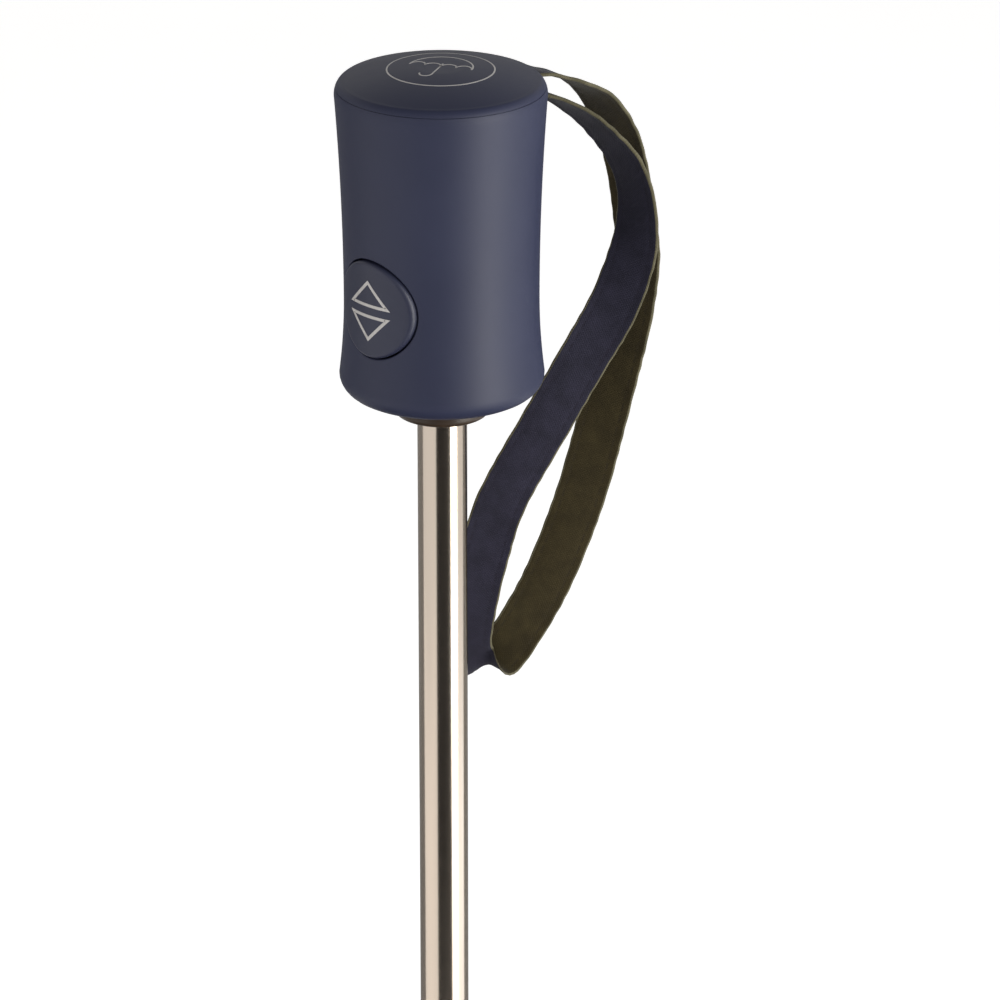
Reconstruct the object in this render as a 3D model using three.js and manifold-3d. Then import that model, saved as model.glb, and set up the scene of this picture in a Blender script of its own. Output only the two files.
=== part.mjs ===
// Folding umbrella with a two-section shaft and eight two-section ribs, standing open with its handle up.
// Millimetres, +Z up. The origin is the middle of the handle, on the shaft's axis; the button faces -Y.
import * as THREE from "three";
import { mergeVertices } from "three/addons/utils/BufferGeometryUtils.js";
import Module from "manifold-3d";

const wasm = await Module();
wasm.setup();

// ---- Driving dimensions ----
const GAP = 0.3; // clearance between neighbouring pieces

// Handle: a waisted grip with a domed cap
const RIM_R = 21; // radius at the cap end
const WAIST_R = 19.45;
const FOOT_R = 20.5; // radius at the shaft end
const RIM_Z = 28.7;
const WAIST_Z = -13.2;
const FOOT_Z = -29.2;
const FOOT_ROUND = 4; // rounding of the lower edge
const SHELL_BOTTOM = FOOT_Z - FOOT_ROUND;
const SEAM_Z = 30.4; // parting line between shell and cap
const SHELL_WALL = 2.4;
const DOME_SPHERE_R = 62.5;
const DOME_TOP = 34.5;
const DOME_EDGE_R = 20;
const CAP_FLAT_R = 5;
const COLLAR_R = 9.7;
const COLLAR_BOTTOM = SHELL_BOTTOM - 5.2;

// Button: a round key on the grip's front
const BUTTON_R = 9.85;
const BUTTON_Z = -11.3;
const BUTTON_FACE = 20.6; // distance of its crown from the axis
const BUTTON_THICK = 3.2;
const BUTTON_TRAVEL = 2.5;

// Shaft: the upper tube slides into the lower tube, which the handle holds
const LOWER_R = 5;
const LOWER_BORE = 4.6;
const UPPER_R = 4.1;
const UPPER_BORE = 3.5;
const SLIDE = 325; // travel of the upper tube into the lower one
const CROWN_Z = -688.5; // height of the rib pivots
const CROWN_DEEP = 7; // crown below the pivots
const CROWN_TALL = 4; // crown above the pivots
const LOWER_TOP = 27;
const LOWER_END = CROWN_Z + SLIDE + CROWN_TALL + 5;
const UPPER_TOP = LOWER_END + 34.5;

// Ribs, in the plane of one rib: x along the piece, y towards the shaft side
const RIBS = 8;
const RIB_HALF = 1.5; // half width across the rib's plane
const RIB_DEEP = 1.6; // half depth in the rib's plane
const PIVOT_R = 12; // radius of the crown pivots
const INNER_LENGTH = 265;
const INNER_SLOPE = 14; // degrees above level when open
const INNER_CLOSED = 90;
const OUTER_LENGTH = 255;
const OUTER_SLOPE = 30;
const OUTER_BEND = 20; // degrees that the cloth bends the outer rib when open
const OUTER_CLOSED = 181.5; // degrees from the inner rib's direction when folded
const ELBOW_Y = -3; // the outer rib's pivot lies on the cloth side of the inner rib
const BRACE_X = 135; // stretcher pivot along the inner rib
const BRACE_Y = 3.2;
const BRACE_LENGTH = 165;
const RUNNER_PIVOT_R = 9.5;
const LINK_X = 10; // link pivot along the stretcher
const LEVER_START = 170; // lever angle from the inner rib's direction when open
const BRACE_LANE = [1.9, 3.3];
const LINK_LANE = [3.7, 4.5];

// Cloth
const CLOTH_OFF = 6; // cloth below the inner rib's centre line
const CLOTH_THICK = 0.3;
const APEX_R = 4.6;
const CLAMP_R = 14;

// ---- Shaping helpers ----
const rad = THREE.MathUtils.degToRad;
const PLANE_TURN = Math.PI / 2;

// A closed geometry as a manifold solid, for joining and cutting.
function solid(geometry) {
  const bare = geometry.clone();
  bare.deleteAttribute("normal");
  bare.deleteAttribute("uv");
  const merged = mergeVertices(bare, 1e-4);
  return new wasm.Manifold(
    new wasm.Mesh({
      numProp: 3,
      vertProperties: merged.attributes.position.array,
      triVerts: new Uint32Array(merged.index.array),
    }),
  );
}

function geometryOf(shape) {
  const mesh = shape.getMesh();
  return new THREE.BufferGeometry()
    .setAttribute("position", new THREE.BufferAttribute(mesh.vertProperties, 3))
    .setIndex(new THREE.BufferAttribute(mesh.triVerts, 1));
}

const join = (pieces) => geometryOf(pieces.reduce((all, piece) => all.add(piece)));
const cut = (body, tools) => geometryOf(tools.reduce((left, tool) => left.subtract(tool), body));

// Turns a profile of [radius, z] points about the Z axis.
function turned(profile, segments = 32) {
  const points = profile.map(([r, z]) => new THREE.Vector2(r, z));
  return new THREE.LatheGeometry(points, segments).rotateX(PLANE_TURN);
}

// A ring of rectangular section between two radii and two heights.
function ring(inner, outer, low, high, segments = 20) {
  const profile = [[inner, low], [outer, low], [outer, high], [inner, high], [inner, low]];
  return turned(profile, segments);
}

// A flat outline in a rib's plane, given thickness between two lanes across it.
function plate(shape, [near, far], arcSteps = 2) {
  const depth = far - near;
  const options = { depth, bevelEnabled: false, curveSegments: arcSteps };
  return new THREE.ExtrudeGeometry(shape, options).translate(0, 0, near);
}

function block(x0, x1, y0, y1, lane) {
  const shape = new THREE.Shape([
    new THREE.Vector2(x0, y0),
    new THREE.Vector2(x1, y0),
    new THREE.Vector2(x1, y1),
    new THREE.Vector2(x0, y1),
  ]);
  return solid(plate(shape, lane));
}

function disc(x, y, radius, lane, sides = 8) {
  const round = new THREE.CylinderGeometry(radius, radius, lane[1] - lane[0], sides);
  return solid(round.rotateX(PLANE_TURN).translate(x, y, (lane[0] + lane[1]) / 2));
}

// A bar with round ends between two points of the rib's plane.
function bar(from, to, half, lane) {
  const along = Math.atan2(to[1] - from[1], to[0] - from[0]);
  const shape = new THREE.Shape();
  shape.absarc(from[0], from[1], half, along + Math.PI / 2, along + 1.5 * Math.PI, false);
  shape.absarc(to[0], to[1], half, along - Math.PI / 2, along + Math.PI / 2, false);
  shape.closePath();
  return solid(plate(shape, lane));
}

// A round wire, cord or spring along an open curve.
function wire(curve, radius, steps, sides) {
  const section = new THREE.Shape();
  section.absarc(0, 0, radius, 0, 2 * Math.PI, false);
  const options = { steps, extrudePath: curve, curveSegments: sides / 2, bevelEnabled: false };
  return new THREE.ExtrudeGeometry(section, options);
}

class Coil extends THREE.Curve {
  constructor(radius, turns, start, end) {
    super();
    Object.assign(this, { radius, turns, start, end });
  }
  getPoint(t, target = new THREE.Vector3()) {
    const angle = 2 * Math.PI * this.turns * t;
    const z = this.start + (this.end - this.start) * t;
    return target.set(this.radius * Math.cos(angle), this.radius * Math.sin(angle), z);
  }
}

const umbrella = new THREE.Group();
umbrella.name = "folding_umbrella";

function add(name, geometry, finish, parent = umbrella) {
  const mesh = new THREE.Mesh(geometry, finish.clone());
  mesh.name = name;
  parent.add(mesh);
  return mesh;
}

const finish = (color, roughness, metalness) => new THREE.MeshStandardMaterial({ color, roughness, metalness });
const SOFT_TOUCH = finish(0x3c3e55, 0.6, 0);
const DARK_PLASTIC = finish(0x322623, 0.3, 0);
const BUTTON_PLASTIC = finish(0x424050, 0.5, 0);
const NICKEL = finish(0xcfc2b4, 0.22, 1);
const STEEL = finish(0x8d8d90, 0.35, 1);
const BLACK_STEEL = finish(0x1c1c20, 0.4, 0.6);
const NYLON = finish(0x1a1a1e, 0.5, 0);
const NAVY_CLOTH = finish(0x323041, 0.85, 0);

// ---- Handle ----
// The grip's outer radius swells from the waist to each end with the square of the distance.
function gripRadius(z) {
  if (z > WAIST_Z) {
    return WAIST_R + (RIM_R - WAIST_R) * ((z - WAIST_Z) / (RIM_Z - WAIST_Z)) ** 2;
  }
  return WAIST_R + (FOOT_R - WAIST_R) * ((z - WAIST_Z) / (FOOT_Z - WAIST_Z)) ** 2;
}

const domeZ = (r) => DOME_TOP - r ** 2 / (2 * DOME_SPHERE_R);

// The shoulder between rim and dome: a quarter of an ellipse, met at the parting line.
function shoulder(z) {
  const rise = (z - RIM_Z) / (domeZ(DOME_EDGE_R) - RIM_Z + 0.3);
  return DOME_EDGE_R - 1 + (RIM_R - DOME_EDGE_R + 1) * Math.sqrt(1 - rise ** 2);
}

function handleShell() {
  const profile = [];
  const inside = RIM_R - SHELL_WALL - 1;
  profile.push([inside, SEAM_Z - GAP]);
  profile.push([inside, SHELL_BOTTOM + SHELL_WALL]);
  profile.push([COLLAR_R + GAP, SHELL_BOTTOM + SHELL_WALL]);
  profile.push([COLLAR_R + GAP, SHELL_BOTTOM]);
  for (let step = 0; step <= 4; step += 1) {
    const turn = (step / 4) * (Math.PI / 2);
    const r = FOOT_R - FOOT_ROUND + FOOT_ROUND * Math.sin(turn);
    profile.push([r, FOOT_Z - FOOT_ROUND * Math.cos(turn)]);
  }
  for (let step = 1; step <= 9; step += 1) {
    const z = FOOT_Z + (RIM_Z - FOOT_Z) * (step / 9);
    profile.push([gripRadius(z), z]);
  }
  profile.push([shoulder(SEAM_Z - GAP), SEAM_Z - GAP]);
  profile.push(profile[0]);
  const bore = new THREE.CylinderGeometry(BUTTON_R + GAP, BUTTON_R + GAP, 2 * RIM_R, 20);
  bore.translate(0, -RIM_R, BUTTON_Z);
  const strapSlot = new THREE.BoxGeometry(12, 8, 5.4).translate(0, RIM_R - 2, SEAM_Z - 2.4);
  return cut(solid(turned(profile, 28)), [solid(bore), solid(strapSlot)]);
}

function endCap() {
  const skirt = RIM_R - SHELL_WALL - 1 - GAP;
  const low = SEAM_Z - 5;
  const profile = [[0, SEAM_Z - 1], [skirt - 1.6, SEAM_Z - 1], [skirt - 1.6, low], [skirt, low]];
  profile.push([skirt, SEAM_Z], [shoulder(SEAM_Z), SEAM_Z]);
  profile.push([DOME_EDGE_R + 0.3, SEAM_Z + 0.7]);
  for (let step = 0; step <= 3; step += 1) {
    const r = DOME_EDGE_R - 0.4 + (CAP_FLAT_R - DOME_EDGE_R + 0.4) * (step / 3);
    profile.push([r, domeZ(r)]);
  }
  profile.push([0, domeZ(CAP_FLAT_R)]);
  const strapSlot = new THREE.BoxGeometry(12, 10, 4.4).translate(0, skirt, SEAM_Z - 3.2);
  return cut(solid(turned(profile, 28)), [solid(strapSlot)]);
}

const STEM_TIP = 11.6; // the stem's inner end, from the axis
const STEM_R = 2.2;
const GUIDE_FACE = 12.5;
const GUIDE_FLOOR = STEM_TIP - BUTTON_TRAVEL - 1.2;
const KEY_BACK = BUTTON_FACE - BUTTON_THICK;

// A round bar lying along Y between two distances in front of the axis, at the button's height.
function buttonBar(radius, near, far, sides) {
  return new THREE.CylinderGeometry(radius, radius, far - near, sides).translate(0, -(near + far) / 2, BUTTON_Z);
}

// The chassis inside the grip: a sleeve round the tube, with a guide pocket for the button.
function handleCore() {
  const sleeve = solid(ring(LOWER_R + GAP, LOWER_R + 3, SHELL_BOTTOM + SHELL_WALL + 1, LOWER_TOP - 5));
  const foot = solid(ring(LOWER_R + 1, RIM_R - SHELL_WALL - 1.4, FOOT_Z - 1.2, FOOT_Z + 1));
  const guide = solid(buttonBar(5.2, 6.5, GUIDE_FACE, 16));
  const tubeHole = new THREE.CylinderGeometry(LOWER_R + GAP, LOWER_R + GAP, 80, 20).rotateX(PLANE_TURN);
  const holes = [solid(buttonBar(STEM_R + 0.6, GUIDE_FLOOR, GUIDE_FACE + 1, 12)), solid(tubeHole)];
  return cut(sleeve.add(foot).add(guide), holes);
}

// The key: a slightly domed disc a little proud of the grip, on a stem that slides in the guide.
function pushButton() {
  const profile = [
    [0, STEM_TIP],
    [STEM_R, STEM_TIP],
    [STEM_R, KEY_BACK],
    [BUTTON_R, KEY_BACK],
    [BUTTON_R, BUTTON_FACE - 1.6],
    [BUTTON_R - 0.6, BUTTON_FACE - 1],
    [BUTTON_R / 2, BUTTON_FACE - 0.2],
    [0, BUTTON_FACE],
  ];
  return turned(profile, 20).rotateX(PLANE_TURN).translate(0, 0, BUTTON_Z);
}

add("handle_shell", handleShell(), SOFT_TOUCH);
add("end_cap", endCap(), SOFT_TOUCH);
add("handle_core", handleCore(), DARK_PLASTIC);
add("push_button", pushButton(), BUTTON_PLASTIC);

// The collar: a round plug in the grip's mouth, with its lower edge eased.
function handleCollar() {
  const profile = [
    [LOWER_R + GAP, COLLAR_BOTTOM],
    [COLLAR_R - 1.2, COLLAR_BOTTOM],
    [COLLAR_R - 0.3, COLLAR_BOTTOM + 0.5],
    [COLLAR_R, COLLAR_BOTTOM + 1.4],
    [COLLAR_R, SHELL_BOTTOM + SHELL_WALL - 0.2],
    [LOWER_R + GAP, SHELL_BOTTOM + SHELL_WALL - 0.2],
    [LOWER_R + GAP, COLLAR_BOTTOM],
  ];
  return turned(profile, 28);
}

add("handle_collar", handleCollar(), DARK_PLASTIC);

const SPRING_WIRE_R = 0.35;
const springRoom = GAP + SPRING_WIRE_R;
const buttonSpring = new Coil(3.9, 4, GUIDE_FACE + springRoom, KEY_BACK - springRoom);
const springShape = wire(buttonSpring, SPRING_WIRE_R, 36, 4).rotateX(PLANE_TURN).translate(0, 0, BUTTON_Z);
add("button_spring", springShape, STEEL);

// The strap's two ends are sewn round a bar behind the slot.
const strapBar = new THREE.CylinderGeometry(0.9, 0.9, 11, 8).rotateZ(PLANE_TURN).translate(0, 14.6, SEAM_Z - 3.4);
add("strap_bar", strapBar, STEEL);

// ---- Wrist strap: one loop of flat ribbon, hanging from the slot behind the cap ----
const STRAP_ROUTE = [
  [0, 18, 28.6],
  [1, 22, 28.6],
  [2.3, 25.8, 27.8],
  [4.5, 32.5, 24.9],
  [5.4, 38.5, 20.4],
  [5.5, 44.3, 12],
  [5.3, 47.7, 3.3],
  [5.5, 49.3, -5.6],
  [5.7, 50.2, -15.1],
  [5, 49.5, -25],
  [4.5, 47.5, -34],
  [3.3, 42.1, -52.2],
  [2.2, 38.1, -65.1],
  [1, 34, -75.6],
  [-0.5, 30.3, -84.2],
  [-1.9, 26.7, -90.5],
  [-3.5, 23.1, -96],
  [-4.5, 20, -99.2],
  [-5.4, 16.8, -100],
  [-6.2, 14, -97.8],
  [-6, 12.7, -93.6],
  [-5, 13.5, -84.6],
  [-3.4, 15.1, -74.6],
  [-0.8, 17.8, -62.4],
  [4.9, 25, -45.6],
  [9.2, 30.9, -32.5],
  [12.8, 36.1, -21.3],
  [14.5, 39.5, -11.1],
  [14.7, 40.5, -4],
  [14.1, 40.2, 2.9],
  [12.7, 38.5, 8.9],
  [10.6, 36, 13.6],
  [7.9, 32.5, 18.4],
  [4.8, 27.9, 22.3],
  [1.6, 23.4, 24.9],
  [0.6, 20.6, 26.4],
  [0, 18, 26.8],
];
const STRAP_WIRE_R = 0.7; // the strap's plain stand-in is a thin tube along its middle line

const strapCurve = new THREE.CatmullRomCurve3(STRAP_ROUTE.map((point) => new THREE.Vector3(...point)));
add("wrist_strap", wire(strapCurve, STRAP_WIRE_R, 60, 8), NAVY_CLOTH);

// ---- Shaft ----
const CROWN_FOOT = CROWN_Z - CROWN_DEEP;
const FERRULE_TOP = CROWN_FOOT - GAP - CLOTH_THICK - GAP;
const FERRULE_LENGTH = 28;
const FERRULE_BOTTOM = FERRULE_TOP - FERRULE_LENGTH;
const SPRING_SHORTEST = 14;

add("lower_tube", ring(LOWER_BORE, LOWER_R, LOWER_END, LOWER_TOP, 24), NICKEL);
add("tube_end_bush", ring(UPPER_R + 0.15, LOWER_R, LOWER_END - GAP - 3, LOWER_END - GAP), DARK_PLASTIC);
add("upper_tube", ring(UPPER_BORE, UPPER_R, FERRULE_TOP - 12, UPPER_TOP), NICKEL);

const plugLow = UPPER_TOP + GAP;
add("slide_plug", ring(0.8, LOWER_BORE - 0.15, plugLow, plugLow + 3, 12), DARK_PLASTIC);

// The drive spring fills the lower tube between its capped end and the plug on the upper tube.
const driveSpring = new Coil(3.6, 16, plugLow + 3 + GAP + 0.5, UPPER_TOP + SLIDE + 3 + SPRING_SHORTEST);
add("drive_spring", wire(driveSpring, 0.45, 128, 4), STEEL);
add("spring_seat", ring(0.8, LOWER_BORE - 0.15, driveSpring.end + 0.8, LOWER_TOP - 0.5, 12), DARK_PLASTIC);

// ---- Crown, runner and ferrule ----
const SLOT_HALF = RIB_HALF + 0.4;
const RING_WIRE_R = 0.6;
const CROWN_R = PIVOT_R + 2.6;

// Radial slots for the ribs, each between two lanes across its rib's plane.
function radialSlots(from, to, low, high, [near, far]) {
  const slots = [];
  for (let rib = 0; rib < RIBS; rib += 1) {
    const slot = new THREE.BoxGeometry(to - from, far - near, high - low);
    slot.translate((from + to) / 2, -(near + far) / 2, (low + high) / 2);
    slots.push(solid(slot.rotateZ((2 * Math.PI * rib) / RIBS)));
  }
  return slots;
}

function crown() {
  const top = CROWN_Z + CROWN_TALL;
  const groove = CROWN_Z - 1;
  const profile = [
    [UPPER_R + GAP, CROWN_FOOT],
    [CROWN_R - 1.2, CROWN_FOOT],
    [CROWN_R, CROWN_FOOT + 1.2],
    [CROWN_R, top - 2],
    [PIVOT_R + 1, top - 2],
    [PIVOT_R + 1, groove],
    [PIVOT_R - 1, groove],
    [PIVOT_R - 1, top],
    [UPPER_R + GAP, top],
    [UPPER_R + GAP, CROWN_FOOT],
  ];
  const slots = radialSlots(PIVOT_R - 2.8, CROWN_R + 2, CROWN_Z - 2.6, top + 1, [-SLOT_HALF, SLOT_HALF]);
  return cut(solid(turned(profile, 32)), slots);
}

add("crown", crown(), NYLON);
add("crown_ring_wire", new THREE.TorusGeometry(PIVOT_R, RING_WIRE_R, 6, 32).translate(0, 0, CROWN_Z), STEEL);

const ferruleProfile = [
  [0, FERRULE_TOP - 12 - GAP],
  [UPPER_R + GAP, FERRULE_TOP - 12 - GAP],
  [UPPER_R + GAP, FERRULE_TOP],
  [CLAMP_R - 3, FERRULE_TOP],
  [CLAMP_R - 3, FERRULE_TOP - 1.2],
  [7, FERRULE_TOP - 4],
  [5.6, FERRULE_TOP - 9],
  [5, FERRULE_BOTTOM + 1.5],
  [3.5, FERRULE_BOTTOM],
  [0, FERRULE_BOTTOM],
];
add("ferrule_cap", turned(ferruleProfile.reverse(), 20), DARK_PLASTIC);

// ---- Rib linkage in the plane of one rib ----
const fromPoint = ([x, y], [u, v]) => Math.atan2(v - y, u - x);
const distance = ([x, y], [u, v]) => Math.hypot(u - x, v - y);

// A point given along a piece that starts at base and lies at an angle in degrees.
function along([x, y], degrees, [forward, side]) {
  const c = Math.cos(rad(degrees));
  const s = Math.sin(rad(degrees));
  return [x + forward * c - side * s, y + forward * s + side * c];
}

const pivot = [PIVOT_R, 0];
const braceOpen = along(pivot, INNER_SLOPE, [BRACE_X, BRACE_Y]);
const braceReach = braceOpen[0] - RUNNER_PIVOT_R;
const RUNNER_OPEN = braceOpen[1] + Math.sqrt(BRACE_LENGTH ** 2 - braceReach ** 2);
const BRACE_SLOPE = THREE.MathUtils.radToDeg(fromPoint(braceOpen, [RUNNER_PIVOT_R, RUNNER_OPEN]));
const braceClosed = along(pivot, INNER_CLOSED, [BRACE_X, BRACE_Y]);
const closedReach = braceClosed[0] - RUNNER_PIVOT_R;
const RUNNER_CLOSED = braceClosed[1] + Math.sqrt(BRACE_LENGTH ** 2 - closedReach ** 2);
const BRACE_CLOSED = THREE.MathUtils.radToDeg(fromPoint(braceClosed, [RUNNER_PIVOT_R, RUNNER_CLOSED]));
const elbow = [INNER_LENGTH, ELBOW_Y];

// The outer rib's turn on the inner rib: over the cloth side, from its open slope to folded.
const OUTER_TURN = OUTER_SLOPE - INNER_SLOPE + 360 - OUTER_CLOSED;
const LEVER_END = LEVER_START - OUTER_TURN;

// The link joins stretcher and lever; one lever length makes it fit both open and folded.
const linkOpen = along([BRACE_X, BRACE_Y], BRACE_SLOPE - INNER_SLOPE, [LINK_X, 0]);
const linkClosed = along([BRACE_X, BRACE_Y], BRACE_CLOSED - INNER_CLOSED, [LINK_X, 0]);

function leverLength() {
  let low = 3;
  let high = 14;
  for (let round = 0; round < 40; round += 1) {
    const middle = (low + high) / 2;
    const open = distance(linkOpen, along(elbow, LEVER_START, [middle, 0]));
    const closed = distance(linkClosed, along(elbow, LEVER_END, [middle, 0]));
    if (open > closed) low = middle;
    else high = middle;
  }
  return low;
}

const LEVER = leverLength();
const leverOpen = along(elbow, LEVER_START, [LEVER, 0]);
const LINK_LENGTH = distance(linkOpen, leverOpen);
const LINK_SLOPE = THREE.MathUtils.radToDeg(fromPoint(linkOpen, leverOpen));

// ---- Rib pieces, each drawn along x from its own pivot ----
const EYE = 2;
const RIVET = 0.8;
const HOLE = RIVET + 0.35;
const INNER_LANE = [-RIB_HALF, RIB_HALF];
const ELBOW_LANE = [-RIB_HALF, -0.2];
const OUTER_NECK = [0.2, RIB_HALF];

// Inner rib: an eye for the crown's ring wire, an ear for the stretcher and half of the elbow.
function innerRib() {
  const pieces = [
    disc(0, 0, EYE, INNER_LANE),
    block(0.8, INNER_LENGTH - 2.8, -RIB_DEEP, RIB_DEEP, INNER_LANE),
    bar([BRACE_X - 3, 0], [BRACE_X, BRACE_Y], EYE, INNER_LANE),
    block(INNER_LENGTH - 6.8, INNER_LENGTH, ELBOW_Y - EYE, ELBOW_Y + EYE, ELBOW_LANE),
    disc(INNER_LENGTH, ELBOW_Y, EYE, ELBOW_LANE),
    disc(INNER_LENGTH, ELBOW_Y, RIVET, [-1, BRACE_LANE[1] + 0.1], 8),
    disc(BRACE_X, BRACE_Y, RIVET, [1, BRACE_LANE[1] + 0.1], 8),
  ];
  const eyeHole = disc(0, 0, RING_WIRE_R + 0.45, [-RIB_HALF - 1, RIB_HALF + 1], 8);
  return cut(solid(join(pieces)), [eyeHole]);
}

function stretcher() {
  const pieces = [
    bar([0, 0], [BRACE_LENGTH, 0], 1.2, BRACE_LANE),
    disc(0, 0, EYE, BRACE_LANE),
    disc(BRACE_LENGTH, 0, EYE - 0.1, BRACE_LANE),
    disc(LINK_X, 0, RIVET, [BRACE_LANE[1] - 0.5, LINK_LANE[1] + 0.1], 8),
  ];
  const holes = [disc(0, 0, HOLE, [0, 6], 8), disc(BRACE_LENGTH, 0, 1, [0, 6], 8)];
  return cut(solid(join(pieces)), holes);
}

// Outer rib: its line lies on the shaft side of the elbow, so that it folds beside the inner rib.
function outerRib() {
  const line = -ELBOW_Y;
  const lever = along([0, 0], LEVER_START - OUTER_SLOPE + INNER_SLOPE, [LEVER, 0]);
  const pieces = [
    disc(0, 0, EYE, [OUTER_NECK[0], BRACE_LANE[1]]),
    block(0, 9, line - RIB_DEEP, line + RIB_DEEP, OUTER_NECK),
    block(7.5, OUTER_LENGTH, line - RIB_DEEP, line + RIB_DEEP, INNER_LANE),
    bar([0, 0], lever, 1.3, BRACE_LANE),
  ];
  const holes = [disc(0, 0, HOLE, [0, 6], 8), disc(lever[0], lever[1], 0.8, [0, 6], 6)];
  return cut(solid(join(pieces)), holes);
}

function link() {
  const pieces = [bar([0, 0], [LINK_LENGTH, 0], 1.3, LINK_LANE)];
  const holes = [disc(0, 0, HOLE, [0, 6], 8), disc(LINK_LENGTH, 0, 0.8, [0, 6], 6)];
  return cut(pieces[0], holes);
}

// Stands a piece drawn in the rib's plane at its pivot and slope, then turns it to its place in the ring.
function hang(name, geometry, base, slope, turn, look) {
  const standing = geometry.clone().rotateZ(rad(slope)).translate(base[0], base[1], 0);
  standing.rotateX(PLANE_TURN).translate(0, 0, CROWN_Z);
  const mesh = add(name, standing, look);
  mesh.rotation.z = turn;
}

const elbowOpen = along(pivot, INNER_SLOPE, elbow);
const linkBase = along(pivot, INNER_SLOPE, linkOpen);
const ribShapes = [
  ["inner_rib", innerRib(), pivot, INNER_SLOPE, BLACK_STEEL],
  ["stretcher", stretcher(), braceOpen, BRACE_SLOPE, BLACK_STEEL],
  ["outer_rib", outerRib(), elbowOpen, OUTER_SLOPE, BLACK_STEEL],
  ["link", link(), linkBase, LINK_SLOPE + INNER_SLOPE, STEEL],
];
for (let rib = 0; rib < RIBS; rib += 1) {
  for (const [name, geometry, base, slope, look] of ribShapes) {
    hang(`${name}_${rib + 1}`, geometry, base, slope, (2 * Math.PI * rib) / RIBS, look);
  }
}

// The runner rides on the upper tube and holds the stretchers' inner ends in its flange.
function runner() {
  const centre = CROWN_Z + RUNNER_OPEN;
  const sleeve = LOWER_R + 1.8;
  const flange = RUNNER_PIVOT_R + 2.3;
  const profile = [
    [LOWER_R + 0.4, centre - 20],
    [sleeve, centre - 20],
    [sleeve, centre - 2.4],
    [flange, centre - 2.4],
    [flange, centre + 2.4],
    [sleeve, centre + 2.4],
    [sleeve, centre + 12],
    [LOWER_R + 0.4, centre + 12],
    [LOWER_R + 0.4, centre - 20],
  ];
  const lane = [BRACE_LANE[0] - 0.4, BRACE_LANE[1] + 0.4];
  return cut(solid(turned(profile, 24)), radialSlots(6.9, flange + 2, centre - 3, centre + 3, lane));
}

add("runner", runner(), NYLON);

// ---- Canopy: one cloth stretched under the ribs, flat between each two of them ----
const CLOTH_POINTS = 8;

// The cloth's inner face in the plane of a rib: clamped at the crown, along the inner rib, then
// along the bent outer rib, whose slope grows evenly from the elbow to the tip.
function clothLine() {
  const flatZ = CROWN_Z - CROWN_DEEP - GAP;
  const line = [[APEX_R, flatZ], [CLAMP_R, flatZ]];
  const meets = along(pivot, INNER_SLOPE, [60, -CLOTH_OFF]);
  const fair = new THREE.CubicBezierCurve(
    new THREE.Vector2(CLAMP_R, flatZ),
    new THREE.Vector2(CLAMP_R + 16, flatZ),
    new THREE.Vector2(...along(pivot, INNER_SLOPE, [40, -CLOTH_OFF])).add(new THREE.Vector2(0, CROWN_Z)),
    new THREE.Vector2(meets[0], meets[1] + CROWN_Z),
  );
  fair.getPoints(5).slice(1).forEach((point) => line.push([point.x, point.y]));
  const bend = along(pivot, INNER_SLOPE, [INNER_LENGTH, -CLOTH_OFF]);
  line.push([bend[0], bend[1] + CROWN_Z]);
  let [r, h] = bend;
  for (let step = 0; step < CLOTH_POINTS; step += 1) {
    const slope = rad(OUTER_SLOPE + OUTER_BEND * ((step + 0.5) / CLOTH_POINTS - 0.5));
    r += (OUTER_LENGTH / CLOTH_POINTS) * Math.cos(slope);
    h += (OUTER_LENGTH / CLOTH_POINTS) * Math.sin(slope);
    line.push([r, h + CROWN_Z]);
  }
  return line;
}

function canopy() {
  const inner = clothLine();
  const outer = inner.map(([r, z]) => [r, z - CLOTH_THICK]).reverse();
  return turned([...inner, ...outer, inner[0]].reverse(), RIBS);
}

add("canopy", canopy(), NAVY_CLOTH);

// ---- Tie band: a short strap sewn to the hem beside the first rib, with a press stud at its free end ----
const BAND_LENGTH = 64;
const BAND_WIDTH = 16;
const BAND_THICK = 0.8;
const STUD_R = 5;

function tieBand() {
  const rim = clothLine().at(-1);
  const slope = rad(OUTER_SLOPE + OUTER_BEND / 2);
  const back = BAND_WIDTH / 2 + 3; // the band's middle line, in from the hem
  const below = CLOTH_THICK + 2 * GAP + BAND_THICK / 2;
  const middle = (rim[0] * Math.cos(Math.PI / RIBS)) - back * Math.cos(slope) + below * Math.sin(slope);
  const height = rim[1] - back * Math.sin(slope) - below * Math.cos(slope);
  const start = -rim[0] * Math.sin(Math.PI / RIBS) + 12;
  const lay = (geometry, n) => {
    geometry.rotateY(-slope).translate(middle, n, height);
    return geometry.rotateZ(Math.PI / RIBS);
  };
  const cloth = new THREE.BoxGeometry(BAND_WIDTH, BAND_LENGTH, BAND_THICK);
  const stud = new THREE.CylinderGeometry(STUD_R - 1, STUD_R, 1.2, 12).rotateX(-PLANE_TURN);
  stud.translate(0, 0, -BAND_THICK / 2 - GAP - 0.6);
  return [lay(cloth, start + BAND_LENGTH / 2), lay(stud, start + BAND_LENGTH - 9)];
}

const [bandShape, studShape] = tieBand();
add("tie_band", bandShape, NAVY_CLOTH);
add("band_stud", studShape, STEEL);

export default umbrella;
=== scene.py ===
import math

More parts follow.
